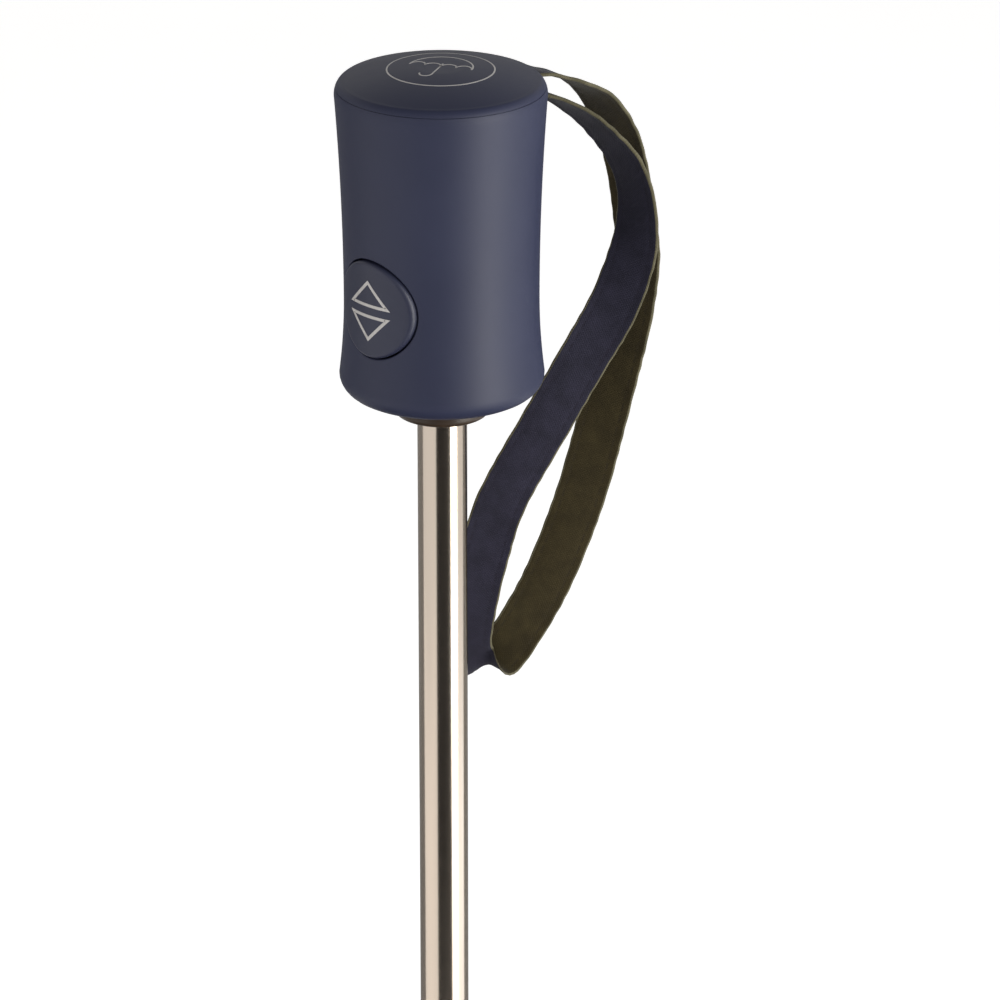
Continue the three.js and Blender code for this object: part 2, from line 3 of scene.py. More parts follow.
import bmesh
import bpy
import numpy as np
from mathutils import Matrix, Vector


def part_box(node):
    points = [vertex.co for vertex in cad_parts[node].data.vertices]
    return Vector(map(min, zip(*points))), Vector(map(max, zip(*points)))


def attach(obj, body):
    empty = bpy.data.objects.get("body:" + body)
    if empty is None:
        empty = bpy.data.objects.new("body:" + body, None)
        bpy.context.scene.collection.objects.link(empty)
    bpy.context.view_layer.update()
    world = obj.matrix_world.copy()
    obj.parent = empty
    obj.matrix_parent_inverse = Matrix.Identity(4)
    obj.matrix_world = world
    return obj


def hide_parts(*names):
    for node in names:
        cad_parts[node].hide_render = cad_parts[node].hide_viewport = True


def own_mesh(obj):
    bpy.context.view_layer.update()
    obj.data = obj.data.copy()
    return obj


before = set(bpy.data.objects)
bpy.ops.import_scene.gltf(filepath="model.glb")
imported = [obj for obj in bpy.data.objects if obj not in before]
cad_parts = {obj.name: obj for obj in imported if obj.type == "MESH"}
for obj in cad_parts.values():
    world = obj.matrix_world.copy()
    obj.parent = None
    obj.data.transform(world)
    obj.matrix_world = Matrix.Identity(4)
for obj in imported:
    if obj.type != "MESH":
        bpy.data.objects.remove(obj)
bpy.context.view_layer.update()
MM = 0.001

# ---------------------------------------------------------------------------------------------
# Studio: the umbrella stands open on its ferrule, handle up, on a pale floor. A large soft window
# on the right, a weaker one on the left and a black flag between them shape the plated tube.
# ---------------------------------------------------------------------------------------------
FLOOR_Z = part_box("ferrule_cap")[0].z - 0.002
VIEW_AZIMUTH = math.radians(45.7)  # the button looks along -Y, and the camera stands to its right
VIEW_RIGHT = np.array([math.cos(VIEW_AZIMUTH), math.sin(VIEW_AZIMUTH), 0.0])
VIEW_BACK = np.array([math.sin(VIEW_AZIMUTH), -math.cos(VIEW_AZIMUTH), 0.0])
CAMERA_REACH = 1.0504
CAMERA_HEIGHT = 0.3659
AIM_SIDE = 0.01158
AIM_HEIGHT = -0.0572
LENS = 202.27

camera_data = bpy.data.cameras.new("camera")
camera_data.lens = LENS
camera_data.sensor_width = 36
camera_data.clip_end = 20
camera = bpy.data.objects.new("camera", camera_data)
bpy.context.scene.collection.objects.link(camera)
camera.location = Vector(VIEW_BACK * CAMERA_REACH + np.array([0, 0, CAMERA_HEIGHT]))
aim = Vector(VIEW_RIGHT * AIM_SIDE + np.array([0, 0, AIM_HEIGHT]))
camera.rotation_euler = (aim - camera.location).to_track_quat("-Z", "Y").to_euler()
bpy.context.scene.camera = camera
bpy.context.scene.view_settings.view_transform = "Standard"


def new_material(name, color, rough, metallic=0.0):
    """A material with one Principled shader; returns the material, its node tree and the shader."""
    made = bpy.data.materials.new(name)
    made.use_nodes = True
    tree = made.node_tree
    shader = tree.nodes["Principled BSDF"]
    shader.inputs["Base Color"].default_value = (*color, 1)
    shader.inputs["Roughness"].default_value = rough
    shader.inputs["Metallic"].default_value = metallic
    return made, tree, shader


def node(tree, kind, inputs=(), **settings):
    """Adds a node, with its settings and with values or links for its inputs, by name or number."""
    made = tree.nodes.new(kind)
    for key, value in settings.items():
        setattr(made, key, value)
    for key, value in dict(inputs).items():
        if isinstance(value, bpy.types.NodeSocket):
            tree.links.new(value, made.inputs[key])
        else:
            made.inputs[key].default_value = value
    return made


def object_noise(tree, scale, detail=4.0, stretch=(1, 1, 1), rough=0.55):
    """Noise on Object coordinates, stretched along the axes by the given factors."""
    coordinates = tree.nodes.new("ShaderNodeTexCoord")
    mapping = node(tree, "ShaderNodeMapping", {"Vector": coordinates.outputs["Object"], "Scale": stretch})
    values = {"Vector": mapping.outputs[0], "Scale": scale, "Detail": detail, "Roughness": rough}
    return node(tree, "ShaderNodeTexNoise", values).outputs["Fac"]


def ramp(tree, factor, stops):
    """A colour ramp; stops are (position, colour) with the colour as one grey or as (r, g, b)."""
    made = node(tree, "ShaderNodeValToRGB", {"Fac": factor})
    elements = made.color_ramp.elements
    while len(elements) < len(stops):
        elements.new(1.0)
    for element, (position, color) in zip(elements, stops):
        element.position = position
        element.color = (color, color, color, 1) if isinstance(color, (int, float)) else (*color, 1)
    return made.outputs["Color"]


def bump(tree, shader, height, distance, strength=1.0, below=None):
    """Feeds a height into the shader's normal as a bump of that depth in metres."""
    values = {"Height": height, "Distance": distance, "Strength": strength}
    if below is not None:
        values["Normal"] = below
    made = node(tree, "ShaderNodeBump", values)
    tree.links.new(made.outputs["Normal"], shader.inputs["Normal"])
    return made.outputs["Normal"]


def link_object(name, mesh, *materials):
    """Puts a finished mesh into the scene at the origin, with its materials."""
    made = bpy.data.objects.new(name, mesh)
    for material in materials:
        mesh.materials.append(material)
    bpy.context.scene.collection.objects.link(made)
    return made


floor_material, floor_tree, floor_shader = new_material("pale_floor", (0.86, 0.86, 0.86), 0.8)
floor_tone = ramp(floor_tree, object_noise(floor_tree, 3.0), [(0.3, 0.90), (0.7, 0.92)])
floor_tree.links.new(floor_tone, floor_shader.inputs["Base Color"])
floor_shader.inputs["Emission Color"].default_value = (1, 1, 1, 1)
floor_shader.inputs["Emission Strength"].default_value = 0.5
floor_mesh = bpy.data.meshes.new("floor")
FLOOR_HALF = 12
corners = [(x * FLOOR_HALF, y * FLOOR_HALF, FLOOR_Z) for x, y in ((-1, -1), (1, -1), (1, 1), (-1, 1))]
floor_mesh.from_pydata(corners, [], [(0, 1, 2, 3)])
floor = link_object("floor", floor_mesh, floor_material)

world = bpy.data.worlds.new("studio")
bpy.context.scene.world = world
world.use_nodes = True
sky = world.node_tree
sky_up = node(sky, "ShaderNodeSeparateXYZ", {0: sky.nodes.new("ShaderNodeTexCoord").outputs["Generated"]})
HORIZON = (1.0, 0.985, 0.965)
sky_tone = ramp(sky, sky_up.outputs[2], [(0.0, HORIZON), (0.25, HORIZON), (0.75, 0.22)])
sky.links.new(sky_tone, sky.nodes["Background"].inputs["Color"])
sky.nodes["Background"].inputs["Strength"].default_value = 1.15


def window_light(name, turn, reach, low, high, width, power, color):
    """A soft upright window, turned about the shaft from the camera's side, facing the handle."""
    azimuth = VIEW_AZIMUTH + math.radians(turn)
    place = np.array([math.sin(azimuth), -math.cos(azimuth), 0]) * reach
    light = bpy.data.lights.new(name, "AREA")
    light.shape = "RECTANGLE"
    light.size = width
    light.size_y = high - low
    light.energy = power
    light.color = color
    made = bpy.data.objects.new(name, light)
    bpy.context.scene.collection.objects.link(made)
    made.location = (place[0], place[1], (low + high) / 2)
    made.rotation_euler = (math.pi / 2, 0, azimuth)
    made.visible_camera = False
    return made


window_light("window_right", 53, 1.3, FLOOR_Z + 0.02, 0.7, 0.8, 24, (1.0, 0.985, 0.94))
window_light("window_side", 100, 1.4, FLOOR_Z + 0.02, 0.7, 0.9, 10, (0.82, 0.9, 1.0)).visible_glossy = False
window_light("window_left", -70, 1.4, FLOOR_Z + 0.02, 0.7, 1.5, 7, (1.0, 0.93, 0.86)).visible_glossy = False



def stage_flag(name, turns, reach, top, tone):
    """A curved upright card that only mirrors see, between two turns about the shaft."""
    made, tree, shader = new_material(name, (tone, tone, tone), 0.9)
    shade = ramp(tree, object_noise(tree, 20.0), [(0.3, tone * 0.9), (0.7, tone * 1.1)])
    tree.links.new(shade, shader.inputs["Base Color"])
    azimuths = VIEW_AZIMUTH + np.radians(np.linspace(*turns, 9))
    foot = np.stack([reach * np.sin(azimuths), -reach * np.cos(azimuths), np.full(9, FLOOR_Z + 0.01)], -1)
    head = foot + np.array([0, 0, top - FLOOR_Z - 0.01])
    mesh = bpy.data.meshes.new(name)
    faces = [(k, k + 1, k + 10, k + 9) for k in range(8)]
    mesh.from_pydata(np.vstack([foot, head]).tolist(), [], faces)
    card = link_object(name, mesh, made)
    card.visible_camera = False
    card.visible_diffuse = False
    card.visible_shadow = False


stage_flag("black_flag", (-29, 39), 0.85, 0.25, 0.012)
stage_flag("grey_flag_left", (-180, -101), 0.95, 0.25, 0.19)
stage_flag("grey_flag_right", (110, 180), 0.95, 0.25, 0.2)

# ---------------------------------------------------------------------------------------------
# Wrist strap: a flat two-colour webbing, navy outside and olive inside, whose ends are sewn round
# a bar behind the slot between grip and cap. It hangs as one loop, turned towards the light.
# ---------------------------------------------------------------------------------------------
STRAP_WIDTH = 10.4 * MM
STRAP_THICK = 0.75 * MM
STRAP_ROUTE = np.array([
    [0, 18, 28.6],
    [1, 22, 28.6],
    [2.3, 25.8, 27.8],
    [4.5, 32.5, 24.9],
    [5.4, 38.5, 20.4],
    [5.5, 44.3, 12],
    [5.3, 47.7, 3.3],
    [5.5, 49.3, -5.6],
    [5.7, 50.2, -15.1],
    [5, 49.5, -25],
    [4.5, 47.5, -34],
    [3.3, 42.1, -52.2],
    [2.2, 38.1, -65.1],
    [1, 34, -75.6],
    [-0.5, 30.3, -84.2],
    [-1.9, 26.7, -90.5],
    [-3.5, 23.1, -96],
    [-4.5, 20, -99.2],
    [-5.4, 16.8, -100],
    [-6.2, 14, -97.8],
    [-6, 12.7, -93.6],
    [-5, 13.5, -84.6],
    [-3.4, 15.1, -74.6],
    [-0.8, 17.8, -62.4],
    [4.9, 25, -45.6],
    [9.2, 30.9, -32.5],
    [12.8, 36.1, -21.3],
    [14.5, 39.5, -11.1],
    [14.7, 40.5, -4],
    [14.1, 40.2, 2.9],
    [12.7, 38.5, 8.9],
    [10.6, 36, 13.6],
    [7.9, 32.5, 18.4],
    [4.8, 27.9, 22.3],
    [1.6, 23.4, 24.9],
    [0.6, 20.6, 26.4],
    [0, 18, 26.8],
]) * MM


def smooth_path(points, count):
    """A uniform Catmull-Rom curve through the points, resampled to count evenly spaced points:
    p(t) = 0.5 (2b + (c-a)t + (2a-5b+4c-d)t^2 + (3b-a-3c+d)t^3) on each span from b to c."""
    ends = [2 * points[0] - points[1], *points, 2 * points[-1] - points[-2]]
    ends = np.array(ends)
    a, b, c, d = ends[:-3], ends[1:-2], ends[2:-1], ends[3:]
    t = np.linspace(0, 1, 16, endpoint=False)[None, :, None]
    a, b, c, d = (p[:, None, :] for p in (a, b, c, d))
    curve = 0.5 * (2 * b + (c - a) * t + (2 * a - 5 * b + 4 * c - d) * t**2 + (3 * b - a - 3 * c + d) * t**3)
    curve = np.vstack([curve.reshape(-1, points.shape[1]), points[-1:]])
    steps = np.linalg.norm(np.diff(curve[:, :3], axis=0), axis=1)
    run = np.concatenate([[0], np.cumsum(steps)])
    even = np.linspace(0, run[-1], count)
    return np.stack([np.interp(even, run, column) for column in curve.T], axis=1)


def unit(vectors):
    return vectors / np.linalg.norm(vectors, axis=-1, keepdims=True)


def grid_mesh(name, points, closed_u=False, closed_v=False, uv=None, slots=None):
    """A mesh over a grid of points [u, v, xyz]; closed ways join their last row to their first.
    uv gives each point's texture place, and slots each cell's material number."""
    rows, columns = points.shape[:2]
    i = np.arange(rows if closed_u else rows - 1)[:, None]
    j = np.arange(columns if closed_v else columns - 1)[None, :]
    i, j = np.broadcast_arrays(i, j)
    i2, j2 = (i + 1) % rows, (j + 1) % columns
    faces = np.stack([i * columns + j, i2 * columns + j, i2 * columns + j2, i * columns + j2], -1)
    mesh = bpy.data.meshes.new(name)
    mesh.from_pydata(points.reshape(-1, 3).tolist(), [], faces.reshape(-1, 4).tolist())
    mesh.polygons.foreach_set("use_smooth", np.ones(len(mesh.polygons), bool))
    if slots is not None:
        numbers = np.broadcast_to(slots, i.shape).reshape(-1).astype(np.int32)
        mesh.polygons.foreach_set("material_index", numbers)
    if uv is not None:
        place = np.stack([uv[i, j], uv[i2, j], uv[i2, j2], uv[i, j2]], -2)
        mesh.uv_layers.new(name="UVMap").data.foreach_set("uv", place.reshape(-1).astype(np.float32))
    mesh.update()
    return mesh


# How the webbing's width lies at some of the route's points: to the right, away, and up.
STRAP_TURNS = [
    (0, (0.7, -0.7, 0.0)),
    (3, (0.62, -0.75, 0.05)),
    (5, (0.72, -0.6, 0.3)),
    (7, (0.8, -0.55, 0.2)),
    (10, (0.9, -0.35, 0.1)),
    (12, (0.95, -0.1, -0.2)),
    (15, (0.9, 0.0, -0.45)),
    (17, (0.9, 0.0, 0.05)),
    (18, (0.95, 0.0, 0.25)),
    (20, (1.0, 0.0, 0.1)),
    (23, (0.95, 0.0, -0.3)),
    (25, (1.0, 0.0, -0.4)),
    (27, (0.85, -0.4, -0.1)),
    (28, (0.75, -0.6, 0.0)),
    (29, (0.68, -0.72, 0.15)),
    (30, (0.6, -0.75, 0.3)),
    (32, (0.45, -0.85, 0.3)),
    (34, (0.55, -0.82, 0.0)),
    (36, (0.7, -0.7, 0.0)),
]
STRAP_STEPS = 420
strap_keys = np.array([key for key, _ in STRAP_TURNS])
strap_turns = np.array([turn for _, turn in STRAP_TURNS])
strap_turns = strap_turns @ np.array([VIEW_RIGHT, -VIEW_BACK, [0, 0, 1]])
along_route = np.arange(len(STRAP_ROUTE))
route_width = np.stack([np.interp(along_route, strap_keys, column) for column in strap_turns.T], 1)
strap_line = smooth_path(np.hstack([STRAP_ROUTE, route_width]), STRAP_STEPS)
strap_path = strap_line[:, :3]
strap_forward = unit(np.gradient(strap_path, axis=0))
strap_across = strap_line[:, 3:]
strap_across -= strap_forward * np.sum(strap_across * strap_forward, axis=1, keepdims=True)
strap_across = unit(strap_across)
strap_outward = np.cross(strap_across, strap_forward)


def ribbon_section(width, thick, face_steps=16, edge_steps=5):
    """The webbing's outline, from the outer face round the rim to the inner face and back, with a
    shallow channel where each edge is stitched. Returns across, outward and material number."""
    half = width / 2 - thick / 2
    flat = np.linspace(-half, half, face_steps)
    channel = 0.09 * MM * np.exp(-(((np.abs(flat) - 0.74 * half) / (0.28 * MM)) ** 2))
    turn = np.linspace(-np.pi / 2, np.pi / 2, edge_steps + 2)[1:-1]
    rim_across = half + thick / 2 * np.cos(turn)
    rim_out = thick / 2 * np.sin(turn)
    across = np.concatenate([flat, rim_across, flat[::-1], -rim_across])
    outward = np.concatenate([thick / 2 - channel, -rim_out, channel - thick / 2, rim_out])
    cells = np.concatenate([np.zeros(face_steps - 1), np.full(edge_steps + 1, 2), np.ones(face_steps - 1),
                            np.full(edge_steps + 1, 2)])
    return across, outward, cells.astype(int)


section_across, section_out, section_slots = ribbon_section(STRAP_WIDTH, STRAP_THICK)
strap_run = np.linspace(0, 1, STRAP_STEPS) * np.sum(np.linalg.norm(np.diff(strap_path, axis=0), axis=1))
edge_share = (section_across / STRAP_WIDTH * 2)[None, :]
run_mm = (strap_run / MM)[:, None]
pucker = np.sin(1.55 * run_mm + 1.2 * np.sin(0.31 * run_mm)) * (0.6 + 0.4 * np.sin(0.23 * run_mm))
cup = 0.1 * MM * pucker * np.sign(edge_share) * edge_share**4 + 0.3 * MM * np.sin(run_mm / 9) * edge_share**2
gathered = 1 + np.sin(1.31 * run_mm + 1.7 * np.sin(0.37 * run_mm))
narrowed = section_across[None, :] * (1 - 0.009 * np.abs(edge_share) ** 3 * gathered)
strap_points = (
    strap_path[:, None, :]
    + strap_across[:, None, :] * narrowed[:, :, None]
    + strap_outward[:, None, :] * (section_out[None, :] + cup)[:, :, None]
)
strap_uv = np.stack(np.broadcast_arrays(section_across[None, :], strap_run[:, None]), -1)
strap_mesh = grid_mesh("wrist_strap_webbing", strap_points, closed_v=True, uv=strap_uv, slots=section_slots)


def webbing_material(name, dark, light, thread):
    """Plain-woven webbing: fine ribs across the run, a row of stitches near each edge, soft fuzz."""
    made, tree, shader = new_material(name, dark, 0.78)
    place = node(tree, "ShaderNodeSeparateXYZ", {0: node(tree, "ShaderNodeUVMap").outputs[0]})
    across, run = place.outputs[0], place.outputs[1]

    def wave(source, length, shift=0.0):
        turns = {0: source, 1: 2 * math.pi / length, 2: shift}
        angle = node(tree, "ShaderNodeMath", turns, operation="MULTIPLY_ADD")
        return node(tree, "ShaderNodeMath", {0: angle.outputs[0]}, operation="SINE").outputs[0]

    threads = {0: wave(across, 0.7 * MM), 1: wave(run, 0.55 * MM)}
    weave = node(tree, "ShaderNodeMath", threads, operation="MULTIPLY")
    tone = object_noise(tree, 260.0, 5.0)
    cloth = ramp(tree, tone, [(0.3, dark), (0.72, light)])
    side = node(tree, "ShaderNodeMath", {0: across}, operation="ABSOLUTE").outputs[0]
    off = node(tree, "ShaderNodeMath", {0: side, 1: 0.0035}, operation="SUBTRACT").outputs[0]
    near = node(tree, "ShaderNodeMath", {0: off, 1: 0.0, 2: 0.00022}, operation="COMPARE").outputs[0]
    stitch = {0: wave(run, 2.6 * MM), 1: -0.55}
    dash = node(tree, "ShaderNodeMath", stitch, operation="GREATER_THAN").outputs[0]
    stitch = node(tree, "ShaderNodeMath", {0: near, 1: dash}, operation="MULTIPLY").outputs[0]
    mixed = node(tree, "ShaderNodeMix", {"Factor": stitch, 6: cloth, 7: (*thread, 1)}, data_type="RGBA")
    tree.links.new(mixed.outputs[2], shader.inputs["Base Color"])
    raised = node(tree, "ShaderNodeMath", {0: stitch, 1: 3.0, 2: weave.outputs[0]}, operation="MULTIPLY_ADD")
    fuzz = node(tree, "ShaderNodeMath", {0: object_noise(tree, 2400.0, 3.0), 1: 1.6, 2: raised.outputs[0]},
                operation="MULTIPLY_ADD")
    bump(tree, shader, fuzz.outputs[0], 0.06 * MM, 0.5)
    shader.inputs["Sheen Weight"].default_value = 0.06
    shader.inputs["Sheen Roughness"].default_value = 0.5
    shader.inputs["Specular IOR Level"].default_value = 0.12
    return made


NAVY_YARNS = (0.011, 0.0105, 0.019), (0.017, 0.016, 0.029), (0.012, 0.011, 0.02)
OLIVE_YARNS = (0.017, 0.0125, 0.004), (0.029, 0.022, 0.0075), (0.02, 0.015, 0.006)
strap_navy = webbing_material("strap_navy", *NAVY_YARNS)
strap_olive = webbing_material("strap_olive", *OLIVE_YARNS)
strap_edge = webbing_material("strap_edge", (0.05, 0.045, 0.026), (0.10, 0.09, 0.055), (0.10, 0.09, 0.055))
wrist_strap = link_object("wrist_strap_webbing", strap_mesh, strap_navy, strap_olive, strap_edge)
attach(wrist_strap, "handle")
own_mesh(wrist_strap)
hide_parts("wrist_strap")

# ---------------------------------------------------------------------------------------------
# Grip: a waisted tube of ABS with a soft-touch navy coat, its lower edge rounded, a round hole
# for the button in front and a notch in its top edge behind, through which the strap comes out.
# ---------------------------------------------------------------------------------------------
shell_low, shell_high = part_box("handle_shell")
button_low, button_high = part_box("push_button")
RIM_R = shell_high.x
RIM_Z = shell_high.z - 1.4 * MM
WAIST_R = RIM_R - 1.55 * MM
WAIST_Z = RIM_Z - 41.9 * MM
FOOT_R = RIM_R - 0.5 * MM
FOOT_ROUND = 4 * MM
FOOT_Z = shell_low.z + FOOT_ROUND
SHELL_INSIDE = RIM_R - 3.4 * MM
SHELL_MOUTH = 9.9 * MM
BUTTON_Z = (button_low.z + button_high.z) / 2
BUTTON_R = (button_high.x - button_low.x) / 2
HOLE_R = BUTTON_R + 0.32 * MM
HOLE_LIP = 0.35 * MM
SHOULDER_R = RIM_R - 2 * MM
SHOULDER_RISE = 2.9 * MM
COLUMNS = 192  # steps round the grip; the patch about the button takes a quarter of them
PATCH_ROWS = 24
PATCH_HALF = 14 * MM


def grip_radius(z):
    """The waist's radius plus a swell to each end that grows with the square of the distance."""
    up = (RIM_R - WAIST_R) * ((z - WAIST_Z) / (RIM_Z - WAIST_Z)) ** 2
    down = (FOOT_R - WAIST_R) * ((z - WAIST_Z) / (FOOT_Z - WAIST_Z)) ** 2
    return WAIST_R + np.where(z > WAIST_Z, up, down)


def shoulder(turn):
    """Radius and height on the rounding at the top: an ellipse about (SHOULDER_R, RIM_Z)."""
    out = SHOULDER_R + (RIM_R - SHOULDER_R) * np.cos(turn)
    return np.stack([out, RIM_Z + SHOULDER_RISE * np.sin(turn)], -1)


def rounded(profile, radius, steps=4):
    """A profile of (r, z) points whose inner corners are replaced by arcs: each corner is left
    and met again at the given distance, by a quadratic curve (1-t)^2 a + 2t(1-t) b + t^2 c."""
    points = [profile[0]]
    t = np.linspace(0, 1, steps + 1)[:, None]
    for before, corner, after in zip(profile, profile[1:], profile[2:]):
        before, corner, after = np.array(before), np.array(corner), np.array(after)
        reach = min(radius, np.linalg.norm(before - corner) / 2, np.linalg.norm(after - corner) / 2)
        a = corner + (before - corner) / np.linalg.norm(before - corner) * reach
        c = corner + (after - corner) / np.linalg.norm(after - corner) * reach
        points.extend((1 - t) ** 2 * a + 2 * t * (1 - t) * corner + t**2 * c)
    points.append(profile[-1])
    return np.array([tuple(point) for point in points])


def turned(profile, angles):
    """Carries (r, z) profile points about the shaft: (r sin a, -r cos a, z), a from the button."""
    r, z = profile[:, 0][None, :], profile[:, 1][None, :]
    a = angles[:, None]
    return np.stack(np.broadcast_arrays(r * np.sin(a), -r * np.cos(a), z), -1)


def joined_mesh(name, grids, sharp=math.radians(40)):
    """One mesh from several point grids, each given as (points, closed_u, closed_v, kept cells)
    and using the material of its own number up to the second, whose shared edges are merged;
    edges that bend by more than the angle stay sharp."""
    vertices, faces, slots, start = [], [], [], 0
    for number, (points, closed_u, closed_v, kept) in enumerate(grids):
        rows, columns = points.shape[:2]
        i = np.arange(rows if closed_u else rows - 1)[:, None]
        j = np.arange(columns if closed_v else columns - 1)[None, :]
        i, j = np.broadcast_arrays(i, j)
        i2, j2 = (i + 1) % rows, (j + 1) % columns
        cells = np.stack([i * columns + j, i2 * columns + j, i2 * columns + j2, i * columns + j2], -1)
        chosen = cells.reshape(-1, 4) if kept is None else cells[kept]
        vertices.append(points.reshape(-1, 3))
        faces.append(chosen + start)
        slots.append(np.full(len(chosen), number))
        start += rows * columns
    mesh = bpy.data.meshes.new(name)
    mesh.from_pydata(np.vstack(vertices).tolist(), [], np.vstack(faces).tolist())
    mesh.polygons.foreach_set("material_index", np.concatenate(slots).astype(np.int32))
    work = bmesh.new()
    work.from_mesh(mesh)
    bmesh.ops.remove_doubles(work, verts=work.verts, dist=1e-6)
    bmesh.ops.dissolve_degenerate(work, edges=work.edges, dist=1e-6)
    bmesh.ops.recalc_face_normals(work, faces=work.faces)
    loose = [vertex for vertex in work.verts if not vertex.link_faces]
    bmesh.ops.delete(work, geom=loose, context="VERTS")
    work.to_mesh(mesh)
    work.free()
    mesh.polygons.foreach_set("use_smooth", np.ones(len(mesh.polygons), bool))
    mesh.set_sharp_from_angle(angle=sharp)
    return mesh


def revolved(name, profile, sides=96, sharp=math.radians(40)):
    """A closed solid turned about the shaft from a profile that starts and ends on the axis, or
    that closes on itself."""
    profile = np.array(profile)
    angles = np.arange(sides) * 2 * np.pi / sides
    on_axis = abs(profile[0, 0]) < 1e-9
    return joined_mesh(name, [(turned(profile, angles), True, not on_axis, None)], sharp)


foot_turn = np.linspace(0, np.pi / 2, 9)
foot_r = FOOT_R - FOOT_ROUND + FOOT_ROUND * np.sin(foot_turn)
foot = np.stack([foot_r, FOOT_Z - FOOT_ROUND * np.cos(foot_turn)], -1)
patch_z = BUTTON_Z + np.linspace(-PATCH_HALF, PATCH_HALF, PATCH_ROWS + 1)
below_patch = np.linspace(FOOT_Z, patch_z[0], 6)[1:-1]
above_patch = np.linspace(patch_z[-1], RIM_Z, 22)[1:-1]
outer_z = np.concatenate([below_patch, patch_z, above_patch])
outer = np.stack([grip_radius(outer_z), outer_z], -1)
brow = shoulder(np.linspace(0, math.asin((shell_high.z - RIM_Z) / SHOULDER_RISE), 6))
inner_z = np.concatenate([[shell_high.z], above_patch[::-1], patch_z[::-1], [shell_low.z + 2.4 * MM]])
inner = np.stack([np.full_like(inner_z, SHELL_INSIDE), inner_z], -1)
mouth = np.array([[SHELL_MOUTH, shell_low.z + 2.4 * MM], [SHELL_MOUTH, shell_low.z + 0.3 * MM],
                  [SHELL_MOUTH + 0.3 * MM, shell_low.z]])
grip_profile = np.vstack([foot, outer, brow, inner, mouth])
NOTCH_HALF = math.asin(6.2 * MM / RIM_R)
NOTCH_FLOOR = shell_high.z - 4.8 * MM
grip_angles = np.arange(COLUMNS) * 2 * np.pi / COLUMNS
notch_sides = np.pi + np.array([-1.0, -0.9995, 0.9995, 1.0]) * NOTCH_HALF
grip_angles = np.sort(np.concatenate([grip_angles, notch_sides]))
grip_grid = turned(grip_profile, grip_angles)
in_notch = (np.abs(grip_angles - np.pi) < 0.9997 * NOTCH_HALF)[:, None]
lowered = np.minimum(grip_grid[..., 2], NOTCH_FLOOR)
on_outside = grip_profile[:, 0] > SHELL_INSIDE + 1 * MM
notch_r = np.where(on_outside, grip_radius(np.array(NOTCH_FLOOR)), SHELL_INSIDE)
sunk = turned(np.stack([notch_r, grip_profile[:, 1]], -1), grip_angles)
high = in_notch & (grip_profile[:, 1] > NOTCH_FLOOR)[None, :]
grip_grid = np.where(high[..., None], np.concatenate([sunk[..., :2], lowered[..., None]], -1), grip_grid)

cell_angle = grip_angles[:, None]
patch_turn = 24 * 2 * np.pi / COLUMNS
near_button = (cell_angle < patch_turn - 1e-6) | (cell_angle > 2 * np.pi - patch_turn - 1e-6)
cell_z = (grip_profile[:, 1] + np.roll(grip_profile[:, 1], -1)) / 2
beside_button = np.abs(cell_z - BUTTON_Z) < PATCH_HALF
wall_r = (grip_profile[:, 0] + np.roll(grip_profile[:, 0], -1)) / 2
beside_button &= wall_r > SHELL_INSIDE - 0.01 * MM
kept_cells = ~(near_button & beside_button[None, :])


def patch_frame():
    """The patch's edge as (angle, z) all the way round, beginning at its lower left corner."""
    side = np.linspace(-patch_turn, patch_turn, 49)
    bottom = np.stack([side, np.full(49, patch_z[0])], -1)[:-1]
    right = np.stack([np.full(25, patch_turn), patch_z], -1)[:-1]
    top = np.stack([side[::-1], np.full(49, patch_z[-1])], -1)[:-1]
    left = np.stack([np.full(25, -patch_turn), patch_z[::-1]], -1)[:-1]
    return np.vstack([bottom, right, top, left])


def on_wall(angle, z, radius, deeper=0.0):
    return np.stack([radius * np.sin(angle), -radius * np.cos(angle) + deeper, z], -1)


frame_edge = patch_frame()
hole_turn = np.arctan2(frame_edge[:, 1] - BUTTON_Z, frame_edge[:, 0] * WAIST_R)


def hole_circle(radius, wall):
    """Angle and height of the circle about the button, as it lies on a wall of that radius."""
    z = BUTTON_Z + radius * np.sin(hole_turn)
    return np.arcsin(radius * np.cos(hole_turn) / wall(z)), z


def inner_wall(z):
    return np.full_like(z, SHELL_INSIDE)


patch_rings = []
for share in np.linspace(0, 1, 7):
    angle, z = hole_circle(HOLE_R + HOLE_LIP, grip_radius)
    angle, z = frame_edge[:, 0] * (1 - share) + angle * share, frame_edge[:, 1] * (1 - share) + z * share
    patch_rings.append(on_wall(angle, z, grip_radius(z)))
for turn in np.linspace(0, np.pi / 2, 6)[1:]:
    angle, z = hole_circle(HOLE_R + HOLE_LIP * (1 - math.sin(turn)), grip_radius)
    patch_rings.append(on_wall(angle, z, grip_radius(z), HOLE_LIP * (1 - math.cos(turn))))
for share in np.linspace(1, 0, 5):
    angle, z = hole_circle(HOLE_R, inner_wall)
    angle, z = frame_edge[:, 0] * (1 - share) + angle * share, frame_edge[:, 1] * (1 - share) + z * share
    patch_rings.append(on_wall(angle, z, SHELL_INSIDE))
patch_grid = np.stack(patch_rings)

